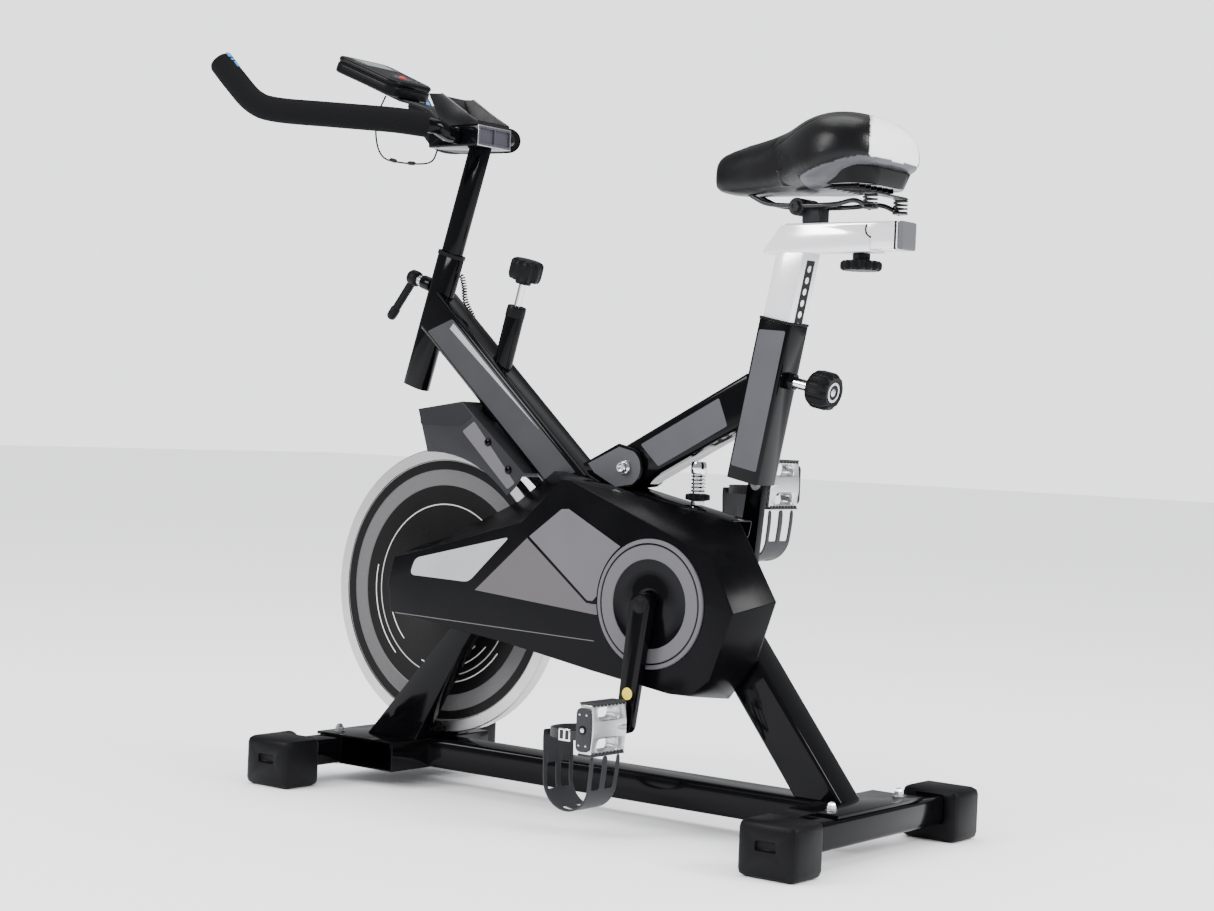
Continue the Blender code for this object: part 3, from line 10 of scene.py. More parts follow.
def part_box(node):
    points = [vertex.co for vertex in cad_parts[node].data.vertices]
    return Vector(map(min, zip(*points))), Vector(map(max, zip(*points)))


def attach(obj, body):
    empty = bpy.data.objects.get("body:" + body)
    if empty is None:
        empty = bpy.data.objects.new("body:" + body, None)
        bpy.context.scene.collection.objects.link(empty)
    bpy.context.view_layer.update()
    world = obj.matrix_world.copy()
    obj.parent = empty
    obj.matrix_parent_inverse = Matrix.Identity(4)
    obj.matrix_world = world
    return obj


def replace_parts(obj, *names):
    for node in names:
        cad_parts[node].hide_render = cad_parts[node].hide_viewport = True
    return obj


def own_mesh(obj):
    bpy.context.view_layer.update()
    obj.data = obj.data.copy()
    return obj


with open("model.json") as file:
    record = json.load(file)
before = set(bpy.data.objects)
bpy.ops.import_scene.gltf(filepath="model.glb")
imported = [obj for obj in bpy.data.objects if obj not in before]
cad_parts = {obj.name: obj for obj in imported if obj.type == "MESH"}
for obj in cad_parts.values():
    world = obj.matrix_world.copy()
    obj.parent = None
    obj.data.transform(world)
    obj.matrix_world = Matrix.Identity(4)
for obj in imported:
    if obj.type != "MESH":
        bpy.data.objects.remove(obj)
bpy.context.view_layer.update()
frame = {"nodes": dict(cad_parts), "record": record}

# ---------------------------------------------------------------- camera, floor and light
# A seamless pale floor under soft studio lights. The camera stands low, behind the rider's left
# shoulder, and looks at the drive side with a long lens.
CAMERA_AT = Vector((2.0496, -2.6085, 0.5696))
CAMERA_YAW = math.radians(37.3223)
CAMERA_PITCH = math.radians(-0.8276)
CAMERA_ROLL = math.radians(2.4006)
LENS_PER_WIDTH = 1.8325783
SENSOR = 36.0


def look_along(yaw, pitch, roll):
    """Camera rotation from its heading, its tilt and its roll."""
    ahead = Vector((-math.sin(yaw) * math.cos(pitch), math.cos(yaw) * math.cos(pitch), math.sin(pitch)))
    right = Vector((math.cos(yaw), math.sin(yaw), 0.0))
    up = right.cross(ahead)
    rolled_right = right * math.cos(roll) + up * math.sin(roll)
    rolled_up = up * math.cos(roll) - right * math.sin(roll)
    return Matrix((rolled_right, rolled_up, -ahead)).transposed().to_4x4()


lens = bpy.data.cameras.new("studio_camera")
lens.sensor_width = SENSOR
lens.lens = SENSOR * LENS_PER_WIDTH
lens.clip_end = 60.0
camera = bpy.data.objects.new("studio_camera", lens)
camera.matrix_world = Matrix.Translation(CAMERA_AT) @ look_along(CAMERA_YAW, CAMERA_PITCH, CAMERA_ROLL)
bpy.context.scene.collection.objects.link(camera)
bpy.context.scene.camera = camera


def deselect():
    """Leave edit mode with nothing selected."""
    if bpy.context.mode != "OBJECT":
        bpy.ops.object.mode_set(mode="OBJECT")
    bpy.ops.object.select_all(action="DESELECT")


deselect()
bpy.ops.mesh.primitive_plane_add(size=40.0)
floor = bpy.context.object
floor.name = "studio_floor"
pale = bpy.data.materials.new("studio_floor_paint")
pale.use_nodes = True
pale.node_tree.nodes["Principled BSDF"].inputs["Base Color"].default_value = (0.86, 0.86, 0.87, 1.0)
pale.node_tree.nodes["Principled BSDF"].inputs["Roughness"].default_value = 0.75
floor.data.materials.append(pale)

world = bpy.data.worlds.new("studio_air")
world.use_nodes = True
world.node_tree.nodes["Background"].inputs["Color"].default_value = (0.97, 0.98, 1.0, 1.0)
STUDIO_BRIGHT, STUDIO_MIRRORED = 2.3, 0.42
air_nodes, air_links = world.node_tree.nodes, world.node_tree.links
ray = air_nodes.new("ShaderNodeLightPath")
dimmer = air_nodes.new("ShaderNodeMapRange")
dimmer.inputs["To Min"].default_value = STUDIO_BRIGHT
dimmer.inputs["To Max"].default_value = STUDIO_MIRRORED
air_links.new(ray.outputs["Is Glossy Ray"], dimmer.inputs["Value"])
air_links.new(dimmer.outputs["Result"], air_nodes["Background"].inputs["Strength"])
bpy.context.scene.world = world


def softbox(name, place, aim, size, power):
    """A large square lamp that faces a point."""
    lamp = bpy.data.lights.new(name, "AREA")
    lamp.size = size
    lamp.energy = power
    holder = bpy.data.objects.new(name, lamp)
    holder.location = place
    holder.rotation_euler = (Vector(aim) - Vector(place)).to_track_quat("-Z", "Y").to_euler()
    bpy.context.scene.collection.objects.link(holder)


softbox("key_light", (-1.6, -3.4, 2.8), (0.0, 0.0, 0.5), 1.6, 150.0)
softbox("rear_light", (3.2, 0.6, 2.2), (0.1, 0.0, 0.6), 1.2, 110.0)
softbox("top_light", (-0.2, 0.4, 3.6), (0.0, 0.0, 0.4), 2.4, 60.0)

# ---------------------------------------------------------------- base
# Welded centre rail on two rectangular cross tubes, all in gloss black powder coat. The tubes are
# bolted on with washers and dome nuts, and end in moulded plastic foot caps.


def finish_of(name, colour, roughness, metallic=0.0, grain=900.0, depth=0.10, mottle=0.15,
              smudge=0.10, shine=0.16):
    """A finish with fine grain, slight mottling of its colour and smudges in its gloss."""
    made = bpy.data.materials.new(name)
    made.use_nodes = True
    nodes, links = made.node_tree.nodes, made.node_tree.links
    shader = nodes["Principled BSDF"]
    shader.inputs["Metallic"].default_value = metallic
    shader.inputs["Specular IOR Level"].default_value = 0.5 if metallic > 0.5 else shine
    where = nodes.new("ShaderNodeTexCoord")
    cloud = nodes.new("ShaderNodeTexNoise")
    cloud.inputs["Scale"].default_value = 14.0
    cloud.inputs["Detail"].default_value = 5.0
    links.new(where.outputs["Object"], cloud.inputs["Vector"])
    tint = nodes.new("ShaderNodeMix")
    tint.data_type = "RGBA"
    tint.inputs["A"].default_value = (*[c * (1.0 - mottle) for c in colour], 1.0)
    tint.inputs["B"].default_value = (*[min(c * (1.0 + mottle), 1.0) for c in colour], 1.0)
    links.new(cloud.outputs["Fac"], tint.inputs["Factor"])
    links.new(tint.outputs["Result"], shader.inputs["Base Color"])
    gloss = nodes.new("ShaderNodeMapRange")
    gloss.inputs["From Min"].default_value = 0.35
    gloss.inputs["From Max"].default_value = 0.65
    gloss.inputs["To Min"].default_value = max(roughness - smudge / 2, 0.02)
    gloss.inputs["To Max"].default_value = roughness + smudge / 2
    links.new(cloud.outputs["Fac"], gloss.inputs["Value"])
    links.new(gloss.outputs["Result"], shader.inputs["Roughness"])
    pores = nodes.new("ShaderNodeTexNoise")
    pores.name = "pores"
    pores.inputs["Scale"].default_value = grain
    pores.inputs["Detail"].default_value = 3.0
    links.new(where.outputs["Object"], pores.inputs["Vector"])
    relief = nodes.new("ShaderNodeBump")
    relief.name = "relief"
    relief.inputs["Strength"].default_value = depth
    relief.inputs["Distance"].default_value = 0.0004
    links.new(pores.outputs["Fac"], relief.inputs["Height"])
    links.new(relief.outputs["Normal"], shader.inputs["Normal"])
    return made


def bumped(made, height, strength, distance):
    """Lay a second relief over a finish's own, driven by a node's output."""
    nodes, links = made.node_tree.nodes, made.node_tree.links
    bump = nodes.new("ShaderNodeBump")
    bump.inputs["Strength"].default_value = strength
    bump.inputs["Distance"].default_value = distance
    links.new(height, bump.inputs["Height"])
    links.new(nodes["relief"].outputs["Normal"], bump.inputs["Normal"])
    links.new(bump.outputs["Normal"], nodes["Principled BSDF"].inputs["Normal"])


gloss_black = finish_of("gloss_black_paint", (0.0018, 0.0018, 0.0023), 0.10, grain=320.0, depth=0.03,
                        smudge=0.06, shine=0.12)
moulded_black = finish_of("moulded_black_plastic", (0.0040, 0.0040, 0.0047), 0.42, grain=1500.0, depth=0.22,
                          shine=0.10)
chrome = finish_of("polished_chrome", (0.80, 0.80, 0.82), 0.09, metallic=1.0, grain=500.0, depth=0.015,
                   mottle=0.05, smudge=0.06)
zinc = finish_of("zinc_plate", (0.62, 0.62, 0.64), 0.28, metallic=1.0, depth=0.06)
tyre_rubber = finish_of("wheel_rubber", (0.018, 0.018, 0.018), 0.72, grain=1100.0, depth=0.30)


def picked(piece):
    """Make one piece the only selected and the active one."""
    deselect()
    piece.select_set(True)
    bpy.context.view_layer.objects.active = piece


def open_edit():
    """Edit the active piece with everything selected."""
    bpy.ops.object.mode_set(mode="EDIT")
    bpy.ops.mesh.select_all(action="SELECT")


def close_edit():
    """Turn every face of the edited piece outward and leave edit mode."""
    bpy.ops.mesh.select_all(action="SELECT")
    bpy.ops.mesh.normals_make_consistent(inside=False)
    bpy.ops.object.mode_set(mode="OBJECT")


def settle(piece, name, body, finish, smooth=35.0):
    """Name a finished piece, shade it, give it its finish and let it ride on its body."""
    piece.name = name
    piece.data.name = name
    piece.data.materials.clear()
    piece.data.materials.append(finish)
    picked(piece)
    bpy.ops.object.transform_apply(location=True, rotation=True, scale=True)
    bpy.ops.object.shade_smooth_by_angle(angle=math.radians(smooth))
    piece.select_set(False)
    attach(piece, body)
    return piece


def body_holding(node):
    """Name of the body that a CAD node belongs to."""
    for body, nodes in frame["record"]["behaviour"]["bodies"].items():
        if node in nodes:
            return body
    return None


def apply_all(piece):
    """Apply every modifier of a piece, top to bottom."""
    picked(piece)
    for modifier in list(piece.modifiers):
        bpy.ops.object.modifier_apply(modifier=modifier.name)


def eased(piece, width, segments=2, limit=40.0):
    """Round a piece's sharp edges with an applied bevel."""
    bevel = piece.modifiers.new("edges", "BEVEL")
    bevel.width = width
    bevel.segments = segments
    bevel.limit_method = "ANGLE"
    bevel.angle_limit = math.radians(limit)
    bevel.use_clamp_overlap = True
    apply_all(piece)
    return piece


def dressed(node, finish, edge=0.0007, segments=2):
    """A merged copy of a CAD node with eased edges, which stands for the node."""
    source = frame["nodes"][node]
    piece = bpy.data.objects.new(node + "_shell", source.data.copy())
    bpy.context.scene.collection.objects.link(piece)
    picked(piece)
    open_edit()
    bpy.ops.mesh.remove_doubles(threshold=1e-6)
    bpy.ops.mesh.dissolve_limited(angle_limit=math.radians(0.8))
    bpy.ops.object.mode_set(mode="OBJECT")
    eased(piece, edge, segments)
    settle(piece, node + "_shell", body_holding(node), finish)
    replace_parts(piece, node)
    return piece


def mm(*pairs):
    """Radius and height pairs given in millimetres, in metres."""
    return [(a / 1000, b / 1000) for a, b in pairs]


def turned_piece(profile, start, direction, sides=64, edge=0.0):
    """Spin a profile of (radius, height) pairs about an axis. It is closed, or ends on the axis."""
    deselect()
    bpy.ops.mesh.primitive_circle_add(vertices=len(profile), radius=1.0, fill_type="NOTHING")
    piece = bpy.context.object
    for vertex, (radius, height) in zip(piece.data.vertices, profile):
        vertex.co = (radius, 0.0, height)
    bpy.ops.object.mode_set(mode="EDIT")
    bpy.ops.mesh.select_all(action="DESELECT")
    bpy.ops.object.mode_set(mode="OBJECT")
    on_axis = [edge_line for edge_line in piece.data.edges
               if all(piece.data.vertices[v].co.x < 1e-7 for v in edge_line.vertices)]
    for edge_line in on_axis:
        edge_line.select = True
    bpy.ops.object.mode_set(mode="EDIT")
    bpy.ops.mesh.select_mode(type="EDGE")
    if on_axis:
        bpy.ops.mesh.delete(type="EDGE")
    bpy.ops.mesh.select_all(action="SELECT")
    bpy.ops.mesh.spin(steps=sides, angle=math.radians(360), center=(0, 0, 0), axis=(0, 0, 1))
    bpy.ops.mesh.select_all(action="SELECT")
    bpy.ops.mesh.remove_doubles(threshold=1e-6)
    bpy.ops.mesh.dissolve_degenerate(threshold=1e-7)
    bpy.ops.mesh.select_mode(type="VERT")
    close_edit()
    turn = Vector(direction).to_track_quat("Z", "Y").to_matrix().to_4x4()
    piece.data.transform(Matrix.Translation(Vector(start)) @ turn)
    if edge:
        eased(piece, edge)
    return piece


def block(size, centre, edge=0.0, segments=3):
    """A block with rounded edges."""
    deselect()
    bpy.ops.mesh.primitive_cube_add(size=1.0)
    piece = bpy.context.object
    open_edit()
    bpy.ops.transform.resize(value=size, center_override=(0, 0, 0))
    if edge:
        bpy.ops.mesh.bevel(offset=edge, segments=segments, affect="EDGES")
    bpy.ops.object.mode_set(mode="OBJECT")
    piece.data.transform(Matrix.Translation(Vector(centre)))
    return piece


def joined(pieces):
    """Join pieces of one finish into one object."""
    deselect()
    for piece in pieces:
        piece.select_set(True)
    bpy.context.view_layer.objects.active = pieces[0]
    bpy.ops.object.join()
    return bpy.context.object


def middle_of(node):
    """Middle of a CAD node's box."""
    low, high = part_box(node)
    return (low + high) / 2


for node in ("base_frame", "front_stabilizer", "rear_stabilizer"):
    dressed(node, gloss_black, 0.0008)

FLANGE_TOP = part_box("base_frame")[1].z
BOLT_Y, BOLT_FROM_EDGE = 0.088, 0.025
SIDES = (("left", -1), ("right", 1))
for end_name in ("front", "rear"):
    bolt_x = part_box(end_name + "_stabilizer")[1].x - BOLT_FROM_EDGE
    for label, way in SIDES:
        at = (bolt_x, way * BOLT_Y, FLANGE_TOP)
        washer = turned_piece(mm((0, 0), (8.5, 0), (8.5, 1.4), (0, 1.8)), at, (0, 0, 1), 32)
        nut = turned_piece(mm((0, 1.6), (6.8, 1.6), (6.8, 7), (5.8, 7.8), (5, 10.4), (3, 12.2), (0, 12.8)),
                           at, (0, 0, 1), 6)
        stud = turned_piece(mm((0, 0), (4.4, 0), (4.4, -44), (6.8, -46), (6.8, -50), (0, -51)), at, (0, 0, 1),
                            24)
        settle(joined([washer, nut, stud]), f"dome_nut_{end_name}_{label}", "frame", zinc)

for end_name in ("front", "rear"):
    for label in ("left", "right"):
        node = f"foot_cap_{end_name}_{label}"
        dressed(node, moulded_black, 0.0016, 3)

for label in ("left", "right"):
    wheel_low, wheel_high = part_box("transport_wheel_" + label)
    middle = (wheel_low + wheel_high) / 2
    radius = (wheel_high.x - wheel_low.x) / 2
    half = (wheel_high.y - wheel_low.y) / 2
    tread = turned_piece([(radius - 0.003, half), (radius, half - 0.003), (radius, 0.002),
                          (radius - 0.001, 0.0), (radius, -0.002), (radius, -half + 0.003),
                          (radius - 0.003, -half), (radius - 0.008, -half + 0.0025), (0.009, -half + 0.0025),
                          (0.008, -half), (0.0053, -half), (0.0053, half), (0.008, half),
                          (0.009, half - 0.0025), (radius - 0.008, half - 0.0025)], middle, (0, 1, 0), 48,
                         0.0005)
    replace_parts(settle(tread, "roller_" + label, "wheel_" + label, tyre_rubber),
                "transport_wheel_" + label)

# ---------------------------------------------------------------- main frame
# Rectangular steel tubes, welded and powder coated. The down tube wears a dark grey film on its
# side with a pointed silver stripe.
for node in ("down_tube", "fork_left", "fork_right", "rear_leg", "rear_strut", "head_tube", "bottom_bracket",
             "brake_guide_tube"):
    dressed(node, gloss_black, 0.0009)


def painted(node, finish):
    """Give a CAD node itself a finish."""
    materials = frame["nodes"][node].data.materials
    materials.clear()
    materials.append(finish)


painted("head_bush", moulded_black)


def flat_face(places):
    """One flat face through a loop of points, left open in edit mode."""
    deselect()
    bpy.ops.mesh.primitive_circle_add(vertices=len(places), radius=1.0, fill_type="NGON")
    piece = bpy.context.object
    for vertex, place in zip(piece.data.vertices, places):
        vertex.co = place
    open_edit()
    return piece


def slab(places, thickness, edge=0.0, segments=2):
    """A flat face drawn out into a slab along a vector."""
    piece = flat_face(places)
    bpy.ops.mesh.extrude_region_move(TRANSFORM_OT_translate={"value": thickness})
    close_edit()
    if edge:
        eased(piece, edge, segments)
    return piece


def plate_of(outline, y_near, thickness, edge=0.0):
    """A flat plate in the side view whose visible face lies at a Y value, from (x, z) pairs."""
    return slab([(x, y_near, z) for x, z in outline], (0, thickness, 0), edge)


def softened(points, radius, steps=5):
    """A closed outline with each corner cut back and rounded."""
    result = []
    for before, here, after in zip(points[-1:] + points[:-1], points, points[1:] + points[:1]):
        here = Vector(here)
        back = Vector(before) - here
        on = Vector(after) - here
        start = here + back.normalized() * min(radius, back.length * 0.45)
        end = here + on.normalized() * min(radius, on.length * 0.45)
        for step in range(steps + 1):
            t = step / steps
            point = start * (1 - t) ** 2 + here * 2 * t * (1 - t) + end * t * t
            result.append((point.x, point.y))
    return result


film_grey = finish_of("dark_grey_film", (0.034, 0.034, 0.037), 0.34, grain=700.0, depth=0.05)
film_silver = finish_of("silver_film", (0.34, 0.34, 0.36), 0.30, metallic=0.35, grain=700.0, depth=0.04)
film_lilac = finish_of("grey_film", (0.090, 0.087, 0.093), 0.36, grain=700.0, depth=0.05, mottle=0.06)
film_taupe = finish_of("warm_grey_film", (0.080, 0.075, 0.079), 0.36, grain=700.0, depth=0.05, mottle=0.06)

crank_at = middle_of("crank_axle")
fly_at = middle_of("flywheel")
FILM = 0.0003
down_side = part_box("down_tube")[0].y
DOWN_FROM = Vector((-0.2872, 0.739))
DOWN_WAY = Vector((0.7487, -0.6629))
DOWN_ACROSS = Vector((0.6629, 0.7487))


def on_down_tube(along, across):
    """Side-view place on the down tube's near face, from its middle line."""
    point = DOWN_FROM + DOWN_WAY * along + DOWN_ACROSS * across
    return (point.x, point.y)


film = [on_down_tube(0.030, -0.024), on_down_tube(0.055, 0.024), on_down_tube(0.395, 0.024),
        on_down_tube(0.360, -0.024)]
settle(plate_of(softened(film, 0.004), down_side - FILM, FILM), "down_tube_film", "frame",
       film_grey)
stripe = [on_down_tube(0.062, 0.021), on_down_tube(0.062, 0.010), on_down_tube(0.300, 0.021)]
settle(plate_of(stripe, down_side - 2 * FILM, FILM), "down_tube_stripe", "frame", film_silver)

# ---------------------------------------------------------------- flywheel
# Cast iron disc with a polished rim, enamelled in concentric greys with fine light circles, on a
# plain steel axle. The circles that stop short leave a quarter of the disc free.
FLY_RADIUS = (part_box("flywheel")[1].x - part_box("flywheel")[0].x) / 2
RIM_FROM, RAMP_REACH = 0.2025, 1.01
FLY_BANDS = ((0.0, 0.0045), (0.162, 0.090), (0.1863, 0.005), (RIM_FROM, 0.55))


def flywheel_finish():
    """Enamel bands by distance from the axle, and bright turned metal on the rim."""
    made = finish_of("flywheel_enamel", (0.05, 0.05, 0.05), 0.30, grain=500.0, depth=0.05, shine=0.10)
    nodes, links = made.node_tree.nodes, made.node_tree.links
    shader = nodes["Principled BSDF"]
    where = nodes.new("ShaderNodeTexCoord")
    centred = nodes.new("ShaderNodeMapping")
    centred.inputs["Location"].default_value = (-fly_at.x, 0.0, -fly_at.z)
    links.new(where.outputs["Object"], centred.inputs["Vector"])
    split = nodes.new("ShaderNodeSeparateXYZ")
    links.new(centred.outputs["Vector"], split.inputs["Vector"])
    flat = nodes.new("ShaderNodeCombineXYZ")
    links.new(split.outputs["X"], flat.inputs["X"])
    links.new(split.outputs["Z"], flat.inputs["Z"])
    reach = nodes.new("ShaderNodeVectorMath")
    reach.operation = "LENGTH"
    links.new(flat.outputs["Vector"], reach.inputs[0])
    share = nodes.new("ShaderNodeMath")
    share.operation = "DIVIDE"
    share.inputs[1].default_value = FLY_RADIUS * RAMP_REACH
    links.new(reach.outputs["Value"], share.inputs[0])
    bands = nodes.new("ShaderNodeValToRGB")
    bands.color_ramp.interpolation = "CONSTANT"
    circles = [(0.1317, 0.40), (0.1333, 0.0045), (0.2005, 0.20), (0.2012, 0.005)]
    stops = sorted([*FLY_BANDS, *circles])
    ramp = bands.color_ramp.elements
    for index, (radius, shade) in enumerate(stops):
        stop = ramp[index] if index < 2 else ramp.new(1.0)
        stop.position = radius / (FLY_RADIUS * RAMP_REACH)
        stop.color = (shade, shade * 0.98, shade, 1.0)
    links.new(share.outputs["Value"], bands.inputs["Fac"])
    links.new(bands.outputs["Color"], shader.inputs["Base Color"])
    rim = nodes.new("ShaderNodeMath")
    rim.operation = "GREATER_THAN"
    rim.inputs[1].default_value = RIM_FROM
    links.new(reach.outputs["Value"], rim.inputs[0])
    links.new(rim.outputs["Value"], shader.inputs["Metallic"])
    return made


half_rim, half_web, half_hub = 0.011, 0.0085, 0.028
half_profile = [(FLY_RADIUS - 0.0015, half_rim), (0.2030, half_rim), (0.2020, half_rim - 0.0012),
                (0.1880, half_rim - 0.0012), (0.1860, half_web), (0.1640, half_web),
                (0.1625, half_web - 0.0008), (0.0400, half_web - 0.0008), (0.0300, 0.012), (0.0280, half_hub),
                (0.0092, half_hub)]
fly_profile = half_profile + [(r, -h) for r, h in half_profile[::-1]]
fly_profile += [(FLY_RADIUS, -half_rim + 0.0015), (FLY_RADIUS, half_rim - 0.0015)]
wheel = turned_piece(fly_profile, fly_at, (0, 1, 0), 160)
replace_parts(settle(wheel, "flywheel_disc", "flywheel_set", flywheel_finish(), 25.0), "flywheel")

trace_white = finish_of("light_enamel", (0.60, 0.60, 0.60), 0.40, depth=0.03)


def arc_line(radius, width, from_deg, to_deg, steps=48):
    """Outline of a thin arc about the flywheel's axle in the side view."""
    outer, inner = [], []
    for step in range(steps + 1):
        angle = math.radians(from_deg + (to_deg - from_deg) * step / steps)
        way = Vector((math.cos(angle), math.sin(angle)))
        outer.append((fly_at.x + way.x * (radius + width / 2), fly_at.z + way.y * (radius + width / 2)))
        inner.append((fly_at.x + way.x * (radius - width / 2), fly_at.z + way.y * (radius - width / 2)))
    return outer + inner[::-1]


traces = []
for radius, from_deg, to_deg in ((0.1437, 168, 228), (0.1148, 172, 226), (0.1437, 262, 322),
                                 (0.1200, 250, 318), (0.1060, 270, 310)):
    for y_near in (-half_web + 0.0004, half_web - 0.0008):
        traces.append(plate_of(arc_line(radius, 0.0016, from_deg, to_deg), y_near, 0.0004))
settle(joined(traces), "flywheel_traces", "flywheel_set", trace_white)
dressed("flywheel_axle", zinc, 0.0006)
AXLE_NUT_Y = 0.0635
for label, way in SIDES:
    nut = turned_piece(mm((8.3, 0), (14, 0), (14, 7), (12.5, 9), (8.3, 9)),
                       (fly_at.x, AXLE_NUT_Y * way, fly_at.z), (0, way, 0), 6)
    settle(nut, "axle_nut_" + label, "frame", zinc)

# ---------------------------------------------------------------- brake
# Felt-lined shoe over the rim, a screw through the guide tube and a moulded eight-sided knob with
# a chrome neck above it.
brake_way = Vector((0.2570, 0.0, 0.9664))
felt = finish_of("brown_felt", (0.070, 0.058, 0.044), 0.95, grain=2600.0, depth=0.60, mottle=0.30)
dressed("brake_shoe", felt, 0.0010)


def lobed(piece, start, direction, lobes, depth, from_radius):
    """Press grip hollows into the side of a turned piece."""
    axis = Vector(direction).normalized()
    first = axis.orthogonal().normalized()
    second = axis.cross(first)
    for vertex in piece.data.vertices:
        offset = vertex.co - Vector(start)
        flat = offset - axis * offset.dot(axis)
        if flat.length > from_radius:
            angle = math.atan2(flat.dot(second), flat.dot(first))
            press = depth * (0.5 - 0.5 * math.cos(lobes * angle)) ** 2
            vertex.co -= flat.normalized() * press
    return piece


cap_profile = mm((0, 530), (18.5, 530), (22.5, 528.5), (25.2, 525), (25.5, 520), (25.5, 507), (24.8, 502),
                 (22.5, 497.5), (13, 497), (11.8, 492), (6, 491.2), (6, 496), (0, 496))
cap = turned_piece(cap_profile, fly_at, brake_way, 96)
lobed(cap, fly_at, brake_way, 8, 0.0032, 0.0215)
settle(cap, "brake_knob_cap", "brake_screw", moulded_black)
rod_profile = mm((0, 496.5), (5.5, 496.5), (5.5, 448), (4.5, 447), (4.5, 300), (0, 300))
rod_piece = turned_piece(rod_profile, fly_at, brake_way, 40)
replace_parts(settle(rod_piece, "brake_screw_rod", "brake_screw", chrome), "brake_knob")
oiled_steel = finish_of("oiled_steel", (0.05, 0.05, 0.052), 0.35, metallic=0.8, grain=900.0, depth=0.12)
foot_profile = mm((0, 300), (4.5, 300), (4.5, 260), (3.8, 259), (3.8, 250.5), (0, 250))
rod_foot = turned_piece(foot_profile, fly_at, brake_way, 40)
settle(rod_foot, "brake_screw_foot", "brake_screw", oiled_steel)
collar = turned_piece(mm((6.8, 457.5), (11, 457.5), (14.2, 456), (15, 452), (15, 440), (6.8, 440)), fly_at,
                      brake_way, 48)
settle(collar, "brake_tube_collar", "frame", moulded_black)

# ---------------------------------------------------------------- belt guard
# Two injection-moulded halves over the belt drive. The outer one has a raised black face with a
# rounded ridge, inlaid films in three greys, and a ring with a black disc round the crank.
guard_black = finish_of("guard_plastic_black", (0.0018, 0.0018, 0.0023), 0.22, grain=1300.0, depth=0.10,
                        shine=0.08)
dressed("belt_guard_outer", guard_black, 0.0022, 4)
dressed("belt_guard_inner", guard_black, 0.0006)
FACE_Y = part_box("belt_guard_outer")[0].y


def from_crank(dx, dz):
    """Side-view place from the crank's axis."""
    return (crank_at.x + dx, crank_at.z + dz)


def arc(at, radius, degrees, high=None):
    """Side-view points on an arc about a place. An oval has its own height."""
    rise = radius if high is None else high
    return [(at[0] + radius * math.cos(math.radians(a)), at[1] + rise * math.sin(math.radians(a)))
            for a in degrees]


def ring_arc(radius, from_deg, to_deg, steps=14):
    """Side-view arc about the crank's axis."""
    return arc(from_crank(0.0, 0.0), radius,
               [from_deg + (to_deg - from_deg) * i / steps for i in range(steps + 1)])


PANEL_RING, LABEL_THICK = 0.0945, 0.0006
window = softened([from_crank(-0.4526, 0.0075), from_crank(-0.4426, 0.0335), from_crank(-0.2590, 0.0770),
                   from_crank(-0.3350, 0.0050)], 0.010)
settle(plate_of(window, FACE_Y - LABEL_THICK, LABEL_THICK), "guard_window_film", "frame",
       film_silver)
upper = [from_crank(-0.2218, 0.0803), from_crank(-0.1640, 0.1230), from_crank(-0.1510, 0.1240),
         from_crank(-0.0560, 0.0765), *ring_arc(PANEL_RING, 126, 178), from_crank(-0.1015, -0.0040),
         from_crank(-0.1110, -0.0040)]
settle(plate_of(upper, FACE_Y - LABEL_THICK, LABEL_THICK), "guard_upper_film", "frame",
       film_lilac)
lower = [from_crank(-0.3216, -0.0057), from_crank(-0.2258, 0.0775), from_crank(-0.1130, -0.0075),
         from_crank(-0.1020, -0.0085), *ring_arc(PANEL_RING, 185, 194, 4), from_crank(-0.0960, -0.0230)]
settle(plate_of(lower, FACE_Y - LABEL_THICK, LABEL_THICK), "guard_lower_film", "frame",
       film_taupe)
line = [from_crank(-0.4796, -0.0530), from_crank(-0.4796, -0.0518), from_crank(-0.0960, -0.0600),
        from_crank(-0.0960, -0.0612)]
settle(plate_of(line, FACE_Y - FILM, FILM), "guard_pin_line", "frame", film_lilac)

ring_at = Vector((crank_at.x, FACE_Y, crank_at.z))
band = turned_piece(mm((62.5, 0.3), (90.9, 0.3), (90.9, 2.6), (90, 3.6), (85.2, 4), (84.8, 2.6), (82.6, 2.6),
                       (82.2, 4), (63.2, 4), (62.5, 3.4)), ring_at, (0, -1, 0), 128)
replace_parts(settle(band, "crank_ring_band", "frame", film_lilac), "crank_cover_ring")
groove = turned_piece(mm((82.7, 2.65), (84.7, 2.65), (84.7, 3), (82.7, 3)), ring_at, (0, -1, 0), 128)
settle(groove, "crank_ring_groove", "frame", guard_black)
disc = turned_piece(mm((16.5, 0.3), (62.4, 0.3), (62.4, 3), (60, 2.4), (30, 2.4), (24, 4), (17.5, 4),
                       (16.5, 3.4)), ring_at, (0, -1, 0), 96)
settle(disc, "crank_ring_disc", "frame", gloss_black)

# ---------------------------------------------------------------- flywheel cover
# Moulded cover over the top of the flywheel, under the down tube: dark grey sides with a lighter
# sloping band along the top, held by two black button screws.
cover_grey = finish_of("cover_plastic_grey", (0.016, 0.016, 0.018), 0.45, grain=1300.0, depth=0.20)
panel_black = finish_of("face_plastic_black", (0.012, 0.012, 0.014), 0.42, grain=1300.0, depth=0.12)
dressed("flywheel_guard", cover_grey, 0.0020, 3)
COVER_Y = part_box("flywheel_guard")[0].y


def on_cover(x, z):
    """Side-view place from the flywheel's axle."""
    return (fly_at.x + x, fly_at.z + z)


